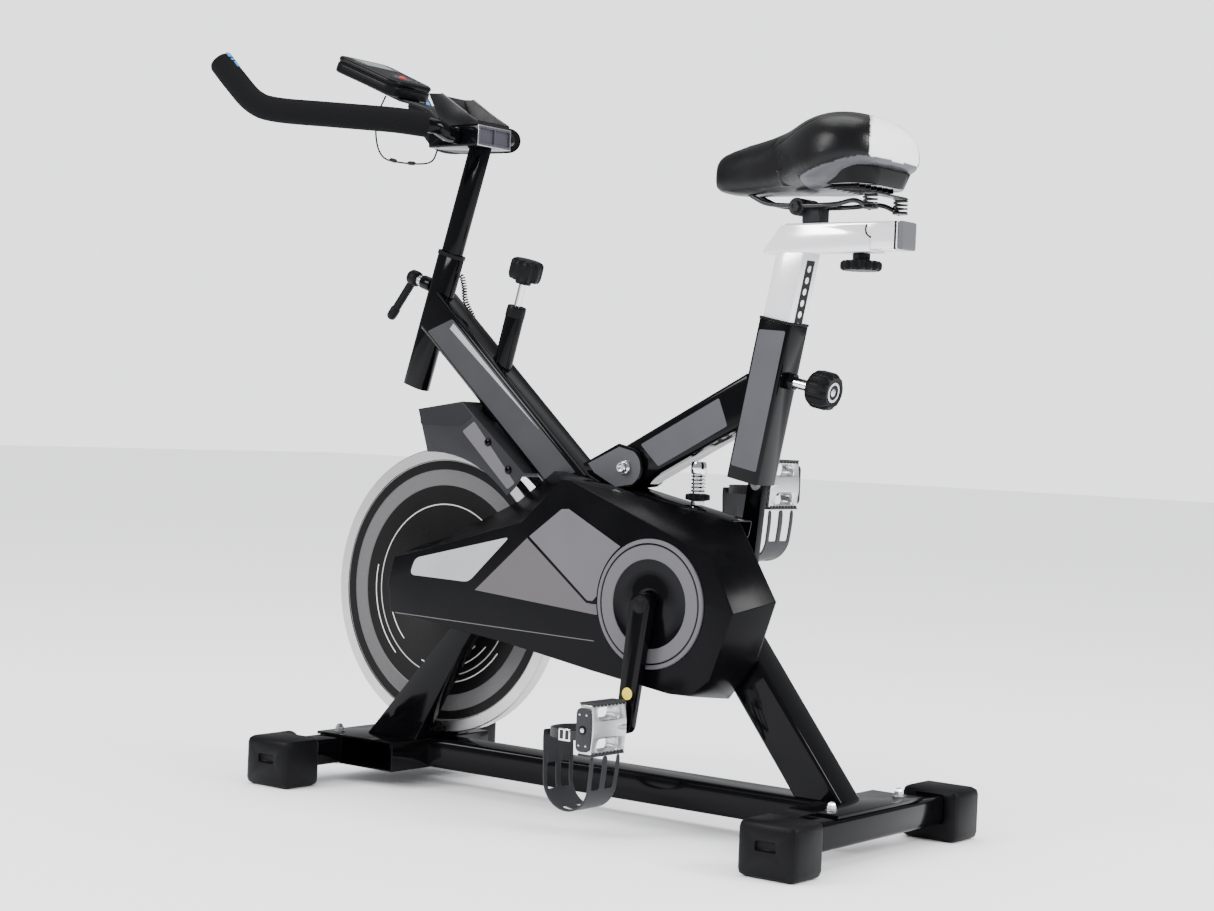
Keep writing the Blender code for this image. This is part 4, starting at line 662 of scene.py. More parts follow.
slope = softened([on_cover(0.0790, 0.2640), on_cover(0.0560, 0.2480), on_cover(0.1500, 0.1640),
                  on_cover(0.1640, 0.1740)], 0.003)
settle(plate_of(slope, COVER_Y - LABEL_THICK, LABEL_THICK), "cover_slope_film", "frame",
       film_lilac)
brow = softened([on_cover(-0.0340, 0.2790), on_cover(0.0520, 0.2910), on_cover(0.0740, 0.2710),
                 on_cover(0.0500, 0.2560), on_cover(-0.0300, 0.2560)], 0.003)
settle(plate_of(brow, COVER_Y - 0.0004, 0.0004), "cover_brow", "frame", panel_black)
for index, (x, z) in enumerate(((0.108, 0.2330), (0.150, 0.1930))):
    centre = Vector((fly_at.x + x, COVER_Y, fly_at.z + z))
    screw = turned_piece(mm((0, 0.2), (6.2, 0.2), (5.8, 2.2), (4, 3.4), (2.6, 3.6), (2.4, 1.6), (0, 1.6)),
                         centre, (0, -1, 0), 32)
    settle(screw, f"cover_screw_{index + 1}", "frame", gloss_black)

# ---------------------------------------------------------------- cranks
# Forged steel arms in gloss black, thicker round the axle and the pedal eye, each held by a capped
# bolt. A plain yellow dot is stuck to the near one.
CRANK_FACE, PEDAL_EYE_Y = 0.131, 0.1168
TIP_WAY = Vector((0.0195, 0.0, 0.1689))
DOT_SHARE = 0.126 / 0.170
for label, way in SIDES:
    dressed("crank_" + label, gloss_black, 0.0028, 4)
    out = Vector((0, way, 0))
    face = way * CRANK_FACE
    foot = crank_at + TIP_WAY * way
    boss = turned_piece(mm((9.6, -24), (15.5, -24), (16.5, -22.5), (16.5, -14.5), (9.6, -14.5)),
                        (crank_at.x, face, crank_at.z), out, 48)
    lip = turned_piece(mm((0, 1.2), (7.8, 1.2), (9.2, 0.4), (10.4, 0.4), (12.2, 0.3), (12.2, -0.2),
                          (0, -0.2)), (crank_at.x, face, crank_at.z), out, 48)
    settle(boss, f"crank_boss_{label}", "crank_set", gloss_black)
    settle(lip, f"crank_cap_{label}", "crank_set", moulded_black)
    eye = turned_piece(mm((0, 0.6), (4.8, 0.6), (5.6, 0), (8.8, 0), (9.4, -0.8), (0, -0.8)),
                       (foot.x, way * PEDAL_EYE_Y, foot.z), -out, 36)
    settle(eye, f"pedal_eye_{label}", "crank_set", zinc)
dot_yellow = finish_of("dot_sticker_yellow", (0.72, 0.56, 0.05), 0.35, depth=0.03)
dot_at = crank_at - TIP_WAY * DOT_SHARE
dot = turned_piece(mm((0, 0.4), (8.2, 0.4), (8.6, 0), (0, 0)), (dot_at.x, -CRANK_FACE, dot_at.z),
                   (0, -1, 0), 40)
settle(dot, "yellow_dot", "crank_set", dot_yellow)
dressed("crank_axle", zinc, 0.0006)

# ---------------------------------------------------------------- pedals
# Die-cast aluminium body with two open windows, toothed black plates on both treads and a riveted
# end plate. A moulded toe cage hangs under each with a woven strap and a steel buckle.
cast_silver = finish_of("cast_aluminium", (0.66, 0.66, 0.68), 0.30, metallic=0.9, grain=700.0, depth=0.25)
cage_black = finish_of("cage_nylon", (0.026, 0.026, 0.029), 0.50, grain=1200.0, depth=0.20)
PEDAL_LONG, PEDAL_HIGH, PEDAL_THICK = 0.088, 0.074, 0.026
TEETH, TOOTH_PITCH = 9, 0.0082
half_high, half_long, half_thick = PEDAL_HIGH / 2, PEDAL_LONG / 2, PEDAL_THICK / 2


def strap_weave():
    """Woven nylon tape: fine ribs across and along, from the piece's own UV map."""
    made = finish_of("strap_webbing", (0.018, 0.018, 0.019), 0.80, depth=0.05)
    nodes, links = made.node_tree.nodes, made.node_tree.links
    nodes["Principled BSDF"].inputs["Sheen Weight"].default_value = 0.15
    mapped = nodes.new("ShaderNodeUVMap")
    heights = []
    for direction, count in (("X", 120.0), ("Y", 14.0)):
        ribs = nodes.new("ShaderNodeTexWave")
        ribs.bands_direction = direction
        ribs.inputs["Scale"].default_value = count / 6.2832 * 2
        links.new(mapped.outputs["UV"], ribs.inputs["Vector"])
        heights.append(ribs)
    product = nodes.new("ShaderNodeMath")
    product.operation = "MULTIPLY"
    links.new(heights[0].outputs["Fac"], product.inputs[0])
    links.new(heights[1].outputs["Fac"], product.inputs[1])
    bumped(made, product.outputs["Value"], 0.6, 0.0004)
    return made


webbing = strap_weave()


def ribbon(line, wide_from, wide_to, thick):
    """A band from a line of (x, y) places that stands between two heights, with its own UV map."""
    deselect()
    bpy.ops.mesh.primitive_grid_add(x_subdivisions=len(line) - 1, y_subdivisions=1, size=2.0)
    piece = bpy.context.object
    for vertex in piece.data.vertices:
        column = round((vertex.co.x + 1) / 2 * (len(line) - 1))
        x, y = line[column]
        vertex.co = (x, y, wide_from if vertex.co.y < 0 else wide_to)
    wall = piece.modifiers.new("thickness", "SOLIDIFY")
    wall.thickness = thick
    wall.offset = 0.0
    apply_all(piece)
    bpy.ops.object.mode_set(mode="EDIT")
    close_edit()
    return piece


def bored(piece, tools):
    """Cut other closed pieces out of a piece, and remove them."""
    for tool in tools:
        cut = piece.modifiers.new("cut", "BOOLEAN")
        cut.object = tool
        cut.operation = "DIFFERENCE"
        cut.solver = "EXACT"
        deselect()
        bpy.context.view_layer.objects.active = piece
        bpy.ops.object.modifier_apply(modifier=cut.name)
        bpy.data.objects.remove(tool)
    return piece


for label, way in SIDES:
    body_name = "pedal_set_" + label
    mid = middle_of("pedal_" + label)
    flank = [(half_thick * 0.96, 0.006), (half_thick * 0.92, 0.012), (half_thick * 0.80, half_high - 0.012),
             (half_thick * 0.80, half_high - 0.0030)]
    right = [(x, -z) for x, z in flank[::-1]] + flank
    left = [(-x, z) for x, z in right[::-1]]
    outline = [(mid.x + x, mid.z + z) for x, z in right + left]
    body = plate_of(outline, mid.y - half_long + 0.007, PEDAL_LONG - 0.011)
    windows = []
    for lift in (0.0215, -0.0215):
        windows.append(block((0.05, 0.046, 0.0170), (mid.x, mid.y + way * 0.001, mid.z + lift), 0.006))
    windows.append(turned_piece(mm((0, -60), (6.3, -60), (6.3, 60), (0, 60)), mid, (0, 1, 0), 32))
    eased(bored(body, windows), 0.0016, 3)
    settle(body, f"pedal_body_{label}", body_name, cast_silver)
    sleeve = turned_piece(mm((6.3, -36), (11.5, -36), (11.8, 0), (13.2, 34), (13.2, 38), (6.3, 38)), mid,
                          (0, -way, 0), 40)
    settle(sleeve, f"pedal_sleeve_{label}", body_name, cast_silver)
    treads = []
    for up in (1, -1):
        edge_z = mid.z + up * (half_high - 0.0023)
        bar = block((PEDAL_THICK - 0.001, PEDAL_LONG - 0.014, 0.0026), (mid.x, mid.y, edge_z + up * 0.0008),
                    0.0007)
        treads.append(bar)
        for step in range(TEETH):
            y = mid.y + (step - TEETH // 2) * TOOTH_PITCH
            for side_x in (1, -1):
                tooth = block((0.0034, 0.0042, 0.0046),
                              (mid.x + side_x * (half_thick - 0.0020), y, edge_z - up * 0.0010), 0.0008, 1)
                treads.append(tooth)
    plate_y = mid.y + way * (half_long - 0.0020)
    end_outline = softened([(mid.x + half_thick - 0.001, mid.z + 0.030),
                            (mid.x - half_thick + 0.001, mid.z + 0.030),
                            (mid.x - half_thick + 0.001, mid.z - 0.030),
                            (mid.x + half_thick - 0.001, mid.z - 0.030)], 0.009)
    treads.append(plate_of(end_outline, plate_y - 0.0016, 0.0032, 0.0007))
    settle(joined(treads), f"pedal_plates_{label}", body_name, cage_black)
    rivets = []
    for dx, dz in ((0.006, 0.021), (-0.006, 0.021), (0.006, -0.021), (-0.006, -0.021), (0.0, 0.0)):
        radius = 0.0017 if dx else 0.0056
        rivets.append(turned_piece([(0.0, 0.0018), (radius * 0.6, 0.0016), (radius, 0.0008),
                                    (radius, -0.0004), (0.0, -0.0004)],
                                   (mid.x + dx, plate_y + way * 0.0014, mid.z + dz), (0, way, 0), 20))
    settle(joined(rivets), f"pedal_rivets_{label}", body_name, zinc)
    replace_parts(bpy.data.objects[f"pedal_body_{label}"], "pedal_" + label)

    top = mid.z - half_high - 0.0003
    bend_x, bend_z, reach = mid.x - 0.035, top - 0.040, 0.040
    run = [(mid.x + 0.007, top), (mid.x + 0.0069, top - 0.020)]
    run += arc((bend_x, bend_z), reach - 0.0012, range(0, -181, -10))
    run += [(bend_x - reach + 0.0012, top - 0.020), (bend_x - reach - 0.0018, mid.z - 0.006)]
    deselect()
    rows = 24
    bpy.ops.mesh.primitive_grid_add(x_subdivisions=len(run) - 1, y_subdivisions=rows, size=2.0)
    cage = bpy.context.object
    for vertex in cage.data.vertices:
        column = round((vertex.co.x + 1) / 2 * (len(run) - 1))
        across = vertex.co.y
        narrow = 1.0 - 0.10 * math.sin(math.pi * column / (len(run) - 1))
        x, z = run[column]
        vertex.co = (x, mid.y + across * 0.034 * narrow, z)
    bpy.ops.object.mode_set(mode="EDIT")
    bpy.ops.mesh.select_all(action="DESELECT")
    bpy.ops.object.mode_set(mode="OBJECT")
    for face in cage.data.polygons:
        place = face.center
        off = abs(place.y - mid.y)
        front = place.x < bend_x - 0.024 and place.z > bend_z - 0.012
        near = place.x > bend_x + 0.030 and place.z > bend_z - 0.006
        under = abs(place.x - bend_x) < 0.012 and place.z < bend_z
        if (front or near) and 0.0055 < off < 0.0250 and place.z < top - 0.004:
            face.select = True
        if under and 0.010 < off < 0.020:
            face.select = True
    bpy.ops.object.mode_set(mode="EDIT")
    bpy.ops.mesh.select_mode(type="FACE")
    bpy.ops.mesh.delete(type="FACE")
    bpy.ops.mesh.select_mode(type="VERT")
    close_edit()
    wall = cage.modifiers.new("wall", "SOLIDIFY")
    wall.thickness = 0.0026
    wall.offset = 0.0
    cage.modifiers.new("round", "SUBSURF").levels = 1
    cage.modifiers["round"].render_levels = 1
    apply_all(cage)
    settle(cage, f"toe_cage_shell_{label}", body_name, cage_black)
    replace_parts(cage, "toe_cage_" + label)

    root_x = mid.x - half_thick - 0.0003
    front_x, half = bend_x - reach - 0.0022, half_long - 0.0042
    line = [(root_x + 0.001, mid.y + half)]
    for step in range(25):
        angle = math.pi * step / 24
        start_x = root_x - 0.030
        line.append((start_x - (start_x - front_x) * math.sin(angle), mid.y + half * math.cos(angle)))
    line.append((root_x + 0.001, mid.y - half))
    strap = ribbon(line, mid.z - 0.0160, mid.z - 0.0040, 0.0019)
    settle(strap, f"toe_strap_{label}", body_name, webbing, 60.0)
    buckle_y = mid.y + way * half
    frame_piece = block((0.0200, 0.0022, 0.0170), (root_x - 0.0200, buckle_y + way * 0.0005, mid.z - 0.0100),
                        0.0005)
    gaps = [block((0.0062, 0.01, 0.0125), (root_x - 0.0200 + shift, buckle_y, mid.z - 0.0100), 0.0008)
            for shift in (-0.0047, 0.0047)]
    settle(bored(frame_piece, gaps), f"strap_buckle_{label}", body_name, chrome)

# ---------------------------------------------------------------- drive inside the guard
# Ribbed rubber belt on two turned pulleys, seen only from the far side between the guard's halves.
belt_rubber = finish_of("belt_rubber", (0.016, 0.016, 0.016), 0.70, grain=1800.0, depth=0.35)
painted("drive_belt", belt_rubber)
painted("drive_pulley", zinc)

# ---------------------------------------------------------------- sprung seat arm
# The arm hinges in a welded U bracket and is welded to the seat tube. Both wear dark grey films on
# their sides; a coil spring unit with star nuts carries the arm.
film_dark = finish_of("dark_grey_film", (0.060, 0.060, 0.066), 0.34, grain=1200.0, depth=0.05)
dressed("pivot_bracket", gloss_black, 0.0012)
dressed("seat_arm", gloss_black, 0.0022, 3)
# the design's own zero, from which bare places are given, lies this far in +X from the origin
SHIFT = 0.07481
SEAT_LEAN = math.radians(11.2)
ARM_RISE = math.radians(28.0)
ARM_SIDE, BRACKET_SIDE = -0.025, -0.0315
bolt_low, bolt_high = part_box("pivot_bolt")
pivot_at = middle_of("pivot_bolt")
seat_way = Vector((math.sin(SEAT_LEAN), 0.0, math.cos(SEAT_LEAN)))
seat_back = Vector((math.cos(SEAT_LEAN), 0.0, -math.sin(SEAT_LEAN)))
seat_foot = Vector((0.2415 + SHIFT, 0.0, 0.497))
seat_mouth = seat_foot + seat_way * 0.227
arm_way = Vector((math.cos(ARM_RISE), 0.0, math.sin(ARM_RISE)))
arm_up = Vector((-math.sin(ARM_RISE), 0.0, math.cos(ARM_RISE)))


def on_seat_tube(along, across):
    """Side-view place on the seat tube, from its foot and its centre line."""
    place = seat_foot + seat_way * along + seat_back * across
    return (place.x, place.z)


def on_arm(along, across):
    """Side-view place on the arm, from the hinge and its centre line."""
    place = pivot_at + arm_way * along + arm_up * across
    return (place.x, place.z)


for label, way in SIDES:
    y_near = ARM_SIDE - FILM if way < 0 else -ARM_SIDE
    tube_film = softened([on_seat_tube(0.018, -0.0215), on_seat_tube(0.018, 0.0215),
                          on_seat_tube(0.218, 0.0215), on_seat_tube(0.212, -0.0215)], 0.003)
    settle(plate_of(tube_film, y_near, FILM), f"seat_tube_film_{label}", "sprung_arm",
           film_dark)
    arm_film = softened([on_arm(0.050, -0.022), on_arm(0.182, -0.022), on_arm(0.186, 0.020),
                         on_arm(0.035, 0.020)], 0.003)
    settle(plate_of(arm_film, y_near, FILM), f"seat_arm_film_{label}", "sprung_arm", film_dark)
    cheek_near = BRACKET_SIDE - FILM if way < 0 else -BRACKET_SIDE
    cheek = [*arc((pivot_at.x, pivot_at.z), 0.0275, range(-60, 61, 12)),
             (pivot_at.x - 0.012, pivot_at.z + 0.0295), (pivot_at.x - 0.068, pivot_at.z + 0.0030),
             (pivot_at.x - 0.056, pivot_at.z - 0.0100), (pivot_at.x - 0.016, pivot_at.z - 0.0290)]
    settle(plate_of(cheek[::-1], cheek_near, FILM), f"bracket_film_{label}", "frame",
           film_dark)
    head_y = bolt_low.y if way < 0 else bolt_high.y
    bolt_head = turned_piece(mm((0, -3.2), (4.4, -3.2), (4.6, 0), (6.6, 0), (7.8, -1.2), (8, -6.8), (9.8, -7),
                                (10.6, -7.8), (10.6, -11.8), (0, -11.8)), (pivot_at.x, head_y, pivot_at.z),
                             (0, way, 0), 48)
    settle(bolt_head, f"pivot_bolt_head_{label}", "frame", chrome)
shank = turned_piece(mm((0, 31), (5.7, 31), (5.9, 30.8), (5.9, -30.8), (5.7, -31), (0, -31)), pivot_at,
                     (0, 1, 0), 40)
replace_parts(settle(shank, "pivot_bolt_shank", "frame", zinc), "pivot_bolt")

liner = block((0.0525, 0.0495, 0.0038), (0, 0, 0), 0.0012)
hollow = block((0.0462, 0.0432, 0.02), (0, 0, 0), 0.0010)
bored(liner, [hollow])
liner.data.transform(Matrix.Translation(seat_mouth + seat_way * 0.0021) @ Matrix.Rotation(SEAT_LEAN, 4, "Y"))
settle(liner, "seat_tube_liner", "sprung_arm", moulded_black)

shock_low, shock_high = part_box("shock_absorber")
shock_x = (shock_low.x + shock_high.x) / 2
base = Vector((shock_x, 0.0, shock_low.z))
tall = shock_high.z - shock_low.z
star = turned_piece(mm((0, 5.5), (11, 5.5), (17.8, 7), (18, 11), (17.6, 14.5), (12, 16), (0, 16)), base,
                    (0, 0, 1), 72)
lobed(star, base, (0, 0, 1), 9, 0.0030, 0.0150)
COIL_FOOT, COIL_PITCH = 0.018, 0.0052
coil = []
for step in range(5):
    height = COIL_FOOT + step * COIL_PITCH
    coil.append(turned_piece([(0.0075, height), (0.0100, height + 0.0004), (0.0108, height + 0.0016),
                              (0.0100, height + 0.0028), (0.0075, height + 0.0032)], base, (0, 0, 1), 40))
body_tube = turned_piece([(0.0, 0.0), (0.0098, 0.0), (0.0098, 0.0050), (0.0080, 0.0056),
                          (0.0080, tall - 0.0185), (0.0100, tall - 0.0180), (0.0112, tall - 0.0160),
                          (0.0112, tall - 0.0040), (0.0098, tall), (0.0, tall)], base, (0, 0, 1), 48)
spring = settle(joined([body_tube, *coil]), "spring_unit", "frame", chrome)
star_nut = settle(star, "spring_star_nut", "frame", moulded_black)
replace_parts(spring, "shock_absorber")
for piece in (spring, star_nut):
    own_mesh(piece)

# ---------------------------------------------------------------- seat post and its pull knob
# Chromed steel post with a black indexing strip on its side, welded under the slide channel. A
# fluted knob with a bright face ring pulls the locking pin.
# painted reflection: the near-white, half-diffuse colour stands in for the bright studio mirrored in the
# chrome of the post, the slide channel and the slide bar
chrome_with_painted_reflection = finish_of("seat_post_chrome_painted_reflection", (0.90, 0.90, 0.92), 0.14, metallic=0.45, grain=500.0, depth=0.02,
                         mottle=0.04, smudge=0.08)
dressed("seat_post", chrome_with_painted_reflection, 0.0009, 3)
dressed("slide_channel", chrome_with_painted_reflection, 0.0006)
dressed("slide_bar", chrome_with_painted_reflection, 0.0007)
strip_from, strip_to = seat_mouth - seat_way * 0.060, seat_mouth + seat_way * 0.092
strip = block((0.0005, 0.0200, (strip_to - strip_from).length), (0, 0, 0), 0.0001, 1)
notches = [block((0.01, 0.0095, 0.0095), (0, 0, -0.064 + step * 0.016), 0.0040) for step in range(9)]
bored(strip, notches)
strip.data.transform(Matrix.Translation(strip_from.lerp(strip_to, 0.5) + seat_back * 0.02302)
                     @ Matrix.Rotation(SEAT_LEAN, 4, "Y"))
settle(strip, "seat_post_strip", "seat_lift", gloss_black)
knob_at = Vector((0.3714, 0.0, 0.639))
grip_profile = mm((0, 75.5), (15, 75.5), (16, 77), (20.5, 77.5), (24.5, 75), (26.8, 70), (27, 52), (26.2, 48),
                  (22.5, 43), (13, 40.5), (11, 37), (0, 37))
pull = turned_piece(grip_profile, knob_at, seat_back, 108)
lobed(pull, knob_at, seat_back, 12, 0.0026, 0.0240)
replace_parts(settle(pull, "pull_knob_grip", "pull_knob", moulded_black), "seat_post_knob")
ring_face = turned_piece(mm((10.5, 75.8), (14, 75.8), (14, 76.4), (10.5, 76.4)), knob_at, seat_back, 64)
inner_face = turned_piece(mm((0, 76.2), (4.8, 76.2), (5.6, 75.8), (0, 75.7)), knob_at, seat_back, 48)
settle(joined([ring_face, inner_face]), "pull_knob_ring", "pull_knob", zinc)
ferrule = turned_piece(mm((9.2, 0.2), (12.8, 0.2), (12.8, 10), (11.6, 12), (9.2, 12)), knob_at, seat_back, 6)
settle(ferrule, "pull_knob_ferrule", "sprung_arm", gloss_black)
pin = turned_piece(mm((0, 37.2), (7.8, 37.2), (7.8, -2), (6, -2.8), (0, -2.8)), knob_at, seat_back, 32)
settle(pin, "pull_knob_pin", "pull_knob", chrome)

# ---------------------------------------------------------------- saddle slide
# Plastic end cap with a black seal on the chromed slide bar, painted shadow in the channel's hook, and a
# fluted clamp knob hanging below the channel.
cap_low, cap_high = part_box("slide_end_cap")
cap_mid = middle_of("slide_end_cap")
cap_size = cap_high - cap_low
cap_piece = block(cap_size, cap_mid, 0.0026, 4)
end_grey = finish_of("end_cap_grey", (0.085, 0.085, 0.093), 0.42, grain=1500.0, depth=0.15)
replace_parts(settle(cap_piece, "slide_end_plug", "seat_slide", end_grey), "slide_end_cap")
seal = block((0.0040, cap_size.y + 0.0001, cap_size.z + 0.0001), (cap_low.x - 0.0035, 0.0, cap_mid.z), 0.0006)
bored(seal, [block((0.02, cap_size.y - 0.0002, cap_size.z - 0.0002), (cap_low.x - 0.0035, 0.0, cap_mid.z))])
settle(seal, "slide_end_seal", "seat_slide", moulded_black)
# painted shadow: a thin black crescent on each side fills the gap between the channel's hook and the slide
# bar
HOOK_AT, HOOK_OUT, HOOK_IN = (0.5078, 0.8455), 0.0125, 0.0098
for label, way in SIDES:
    lip = arc(HOOK_AT, HOOK_OUT, range(140, 262, 10)) + arc(HOOK_AT, HOOK_IN, range(260, 139, -10))
    hook_shadow_piece = plate_of(lip, -0.0188 if way < 0 else 0.0186, 0.0002)
    settle(hook_shadow_piece, "channel_hook_shadow_" + label, "seat_lift", tyre_rubber)
turn_at = Vector((middle_of("slide_knob").x, 0.0, 0.8147))
hand = turned_piece(mm((0, 0), (11.5, 0), (12, -1), (12, -8.5), (15, -10), (25.5, -10.5), (28.6, -13),
                       (29, -17), (28.6, -21.2), (25.5, -23.8), (0, -24)), turn_at, (0, 0, 1), 112)
lobed(hand, turn_at, (0, 0, 1), 14, 0.0030, 0.0250)
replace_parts(settle(hand, "slide_knob_grip", "slide_clamp", moulded_black), "slide_knob")
stud = turned_piece(mm((0, -0.5), (3.8, -0.5), (3.8, 2.2), (0, 2.2)), turn_at, (0, 0, 1), 24)
settle(stud, "slide_knob_stud", "slide_clamp", zinc)

# ---------------------------------------------------------------- saddle clamp and rails
# A clamp block with a serrated round bolt stands on the slide. Two black steel rails run from it
# to the saddle's nose and to a plate on two coil springs at the back.
CLAMP_AT = Vector((0.38681, 0.0, 0.8785))
clamp_black = finish_of("clamp_black_oxide", (0.020, 0.020, 0.022), 0.32, metallic=0.4, grain=900.0,
                        depth=0.15)
dressed("saddle_clamp", clamp_black, 0.0012, 3)
bolts = []
for way in (-1, 1):
    washer = turned_piece(mm((0, 16.5), (11.8, 16.5), (12.5, 17.5), (12.5, 22.5), (11.8, 23.5), (0, 23.5)),
                          CLAMP_AT, (0, way, 0), 90)
    lobed(washer, CLAMP_AT, (0, way, 0), 30, 0.0006, 0.0120)
    nut = turned_piece(mm((0, 23.6), (8.5, 23.6), (8.5, 28), (7.4, 29), (3.6, 29), (3.4, 27.6), (0, 27.6)),
                       CLAMP_AT, (0, way, 0), 6)
    bolts += [washer, nut]
bolts.append(turned_piece(mm((0, 16.5), (4.9, 16.5), (4.9, -16.5), (0, -16.5)), CLAMP_AT, (0, 1, 0), 32))
settle(joined(bolts), "saddle_clamp_bolt", "saddle_set", clamp_black)


def smooth_route(points, steps):
    """Points of a smooth curve through the given ones."""
    ends = [points[0] * 2 - points[1], *points, points[-1] * 2 - points[-2]]
    route = []
    for index in range(1, len(ends) - 2):
        a, b, c, d = ends[index - 1:index + 3]
        for step in range(steps):
            t = step / steps
            route.append(0.5 * ((2 * b) + (c - a) * t + (2 * a - 5 * b + 4 * c - d) * t * t
                                + (3 * b - a - 3 * c + d) * t * t * t))
    route.append(points[-1].copy())
    return route


def round_curve(points, radius, name, steps, sides):
    """An open smooth curve with a round section, and its length."""
    curve = bpy.data.curves.new(name, "CURVE")
    curve.dimensions = "3D"
    curve.bevel_depth = radius
    curve.bevel_resolution = sides
    curve.use_fill_caps = True
    spline = curve.splines.new("POLY")
    route = smooth_route(points, steps)
    spline.points.add(len(route) - 1)
    for spot, place in zip(spline.points, route):
        spot.co = (*place, 1.0)
    piece = bpy.data.objects.new(name, curve)
    bpy.context.scene.collection.objects.link(piece)
    return piece, sum((b - a).length for a, b in zip(route, route[1:]))


def bent_rod(points, radius, name, steps=6, sides=4):
    """A round rod along a smooth curve, as a closed mesh."""
    picked(round_curve(points, radius, name, steps, sides)[0])
    bpy.ops.object.convert(target="MESH")
    piece = bpy.context.object
    open_edit()
    bpy.ops.mesh.remove_doubles(threshold=1e-6)
    close_edit()
    return piece


rails = []
SPRING_X, SPRING_FOOT = 0.5148, 0.8695
RAIL = ((0.222, 0.011, 0.9020), (0.236, 0.013, 0.894), (0.262, 0.016, 0.884), (0.312, 0.020, 0.880),
        (0.372, 0.022, 0.880), (0.412, 0.034, 0.883), (0.440, 0.040, 0.8712))
COIL_STEPS, COIL_TURN, COIL_RISE, COIL_WIDE = 42, 0.5236, 0.0179, 0.0088
for way in (-1, 1):
    rails.append(bent_rod([Vector((x + SHIFT, way * y, z)) for x, y, z in RAIL], 0.0034, "rail"))
    foot_at = Vector((SPRING_X, way * 0.040, SPRING_FOOT))
    helix = [foot_at + Vector((COIL_WIDE * math.cos(turn * COIL_TURN), COIL_WIDE * math.sin(turn * COIL_TURN),
                               0.0032 + turn * COIL_RISE / COIL_STEPS)) for turn in range(COIL_STEPS + 1)]
    rails.append(bent_rod(helix, 0.0016, "coil", 1, 2))
    rails.append(turned_piece(mm((0, 0), (5, 0), (10.5, 0.8), (10.8, 2.4), (0, 2.8)), foot_at, (0, 0, 1), 32))
    rails.append(turned_piece(mm((0, 21), (10.5, 21), (10.8, 22.5), (6, 23.8), (0, 23.8)),
                              foot_at, (0, 0, 1), 32))
plate_piece = block((0.0155, 0.0915, 0.0028), (SPRING_X, 0.0, 0.8925), 0.0010)
rails.append(plate_piece)
rail_black = finish_of("rail_black_steel", (0.030, 0.030, 0.032), 0.24, metallic=0.7, grain=700.0, depth=0.08)
rail_set = settle(joined(rails), "saddle_rail_set", "saddle_set", rail_black)
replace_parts(rail_set, "saddle_rails")

# ---------------------------------------------------------------- saddle
# Foam pad under glossy black vinyl: narrow drooping nose, broad crowned rear with a sewn white
# panel, seam lines along its flanks, and a grey bumper rim round the open underside.
STATIONS = ((0.166, 0.012, 0.9120, 0.9440), (0.171, 0.020, 0.9060, 0.9530), (0.185, 0.029, 0.9005, 0.9600),
            (0.235, 0.034, 0.8990, 0.9690), (0.285, 0.044, 0.8990, 0.9790), (0.312, 0.060, 0.8995, 0.9890),
            (0.340, 0.082, 0.9000, 0.9990), (0.372, 0.099, 0.9005, 1.0055), (0.402, 0.1025, 0.9130, 1.0050),
            (0.430, 0.096, 0.9230, 0.9975), (0.450, 0.077, 0.9290, 0.9830), (0.461, 0.050, 0.9320, 0.9690))
SECTION = ((0.0, 0.0), (0.45, 0.0), (0.84, 0.02), (0.985, 0.14), (1.0, 0.34), (0.965, 0.58), (0.86, 0.78),
           (0.64, 0.925), (0.33, 0.985), (0.0, 1.0))
section = list(SECTION) + [(-a, h) for a, h in SECTION[-2:0:-1]]
deselect()
rings = len(STATIONS)
bpy.ops.mesh.primitive_grid_add(x_subdivisions=rings - 1, y_subdivisions=len(section), size=2.0)
pad = bpy.context.object
for vertex in pad.data.vertices:
    ring = round((vertex.co.x + 1.0) / 2.0 * (rings - 1))
    spoke = round((vertex.co.y + 1.0) / 2.0 * len(section)) % len(section)
    x, half, low, top = STATIONS[ring]
    across, height = section[spoke]
    vertex.co = (x + SHIFT, half * across, low + (top - low) * height)
open_edit()
bpy.ops.mesh.remove_doubles(threshold=1e-6)
bpy.ops.mesh.select_all(action="SELECT")
bpy.ops.mesh.fill_holes(sides=0)
close_edit()
SWELL_CAP = 0.0026
VOXEL = 0.005
cage_round = pad.modifiers.new("round", "SUBSURF")
cage_round.levels = 2
cage_round.render_levels = 2
skin = pad.modifiers.new("skin", "REMESH")
skin.mode = "VOXEL"
skin.voxel_size = VOXEL
apply_all(pad)


def swelled(piece, cap):
    """Blow a pad up a little like stuffed cloth, moving no point further than a cap."""
    before = [vertex.co.copy() for vertex in piece.data.vertices]
    cloth = piece.modifiers.new("vinyl", "CLOTH")
    cloth.settings.use_pressure = True
    cloth.settings.uniform_pressure_force = 4.0
    cloth.settings.effector_weights.gravity = 0.0
    cloth.settings.quality = 5
    cloth.settings.mass = 0.3
    cloth.settings.tension_stiffness = 15.0
    cloth.settings.compression_stiffness = 15.0
    scene = bpy.context.scene
    for count in range(1, 21):
        scene.frame_set(count)
    seen = piece.evaluated_get(bpy.context.evaluated_depsgraph_get())
    after = [vertex.co.copy() for vertex in seen.data.vertices]
    piece.modifiers.clear()
    scene.frame_set(1)
    for vertex, start, end in zip(piece.data.vertices, before, after):
        move = end - start
        if move.length > cap:
            move *= cap / move.length
        vertex.co = start + move
    return piece


swelled(pad, SWELL_CAP)
even = pad.modifiers.new("even", "SMOOTH")
even.iterations = 3
even.factor = 0.5
again = pad.modifiers.new("again", "SUBSURF")
again.levels = 1
again.render_levels = 1
apply_all(pad)

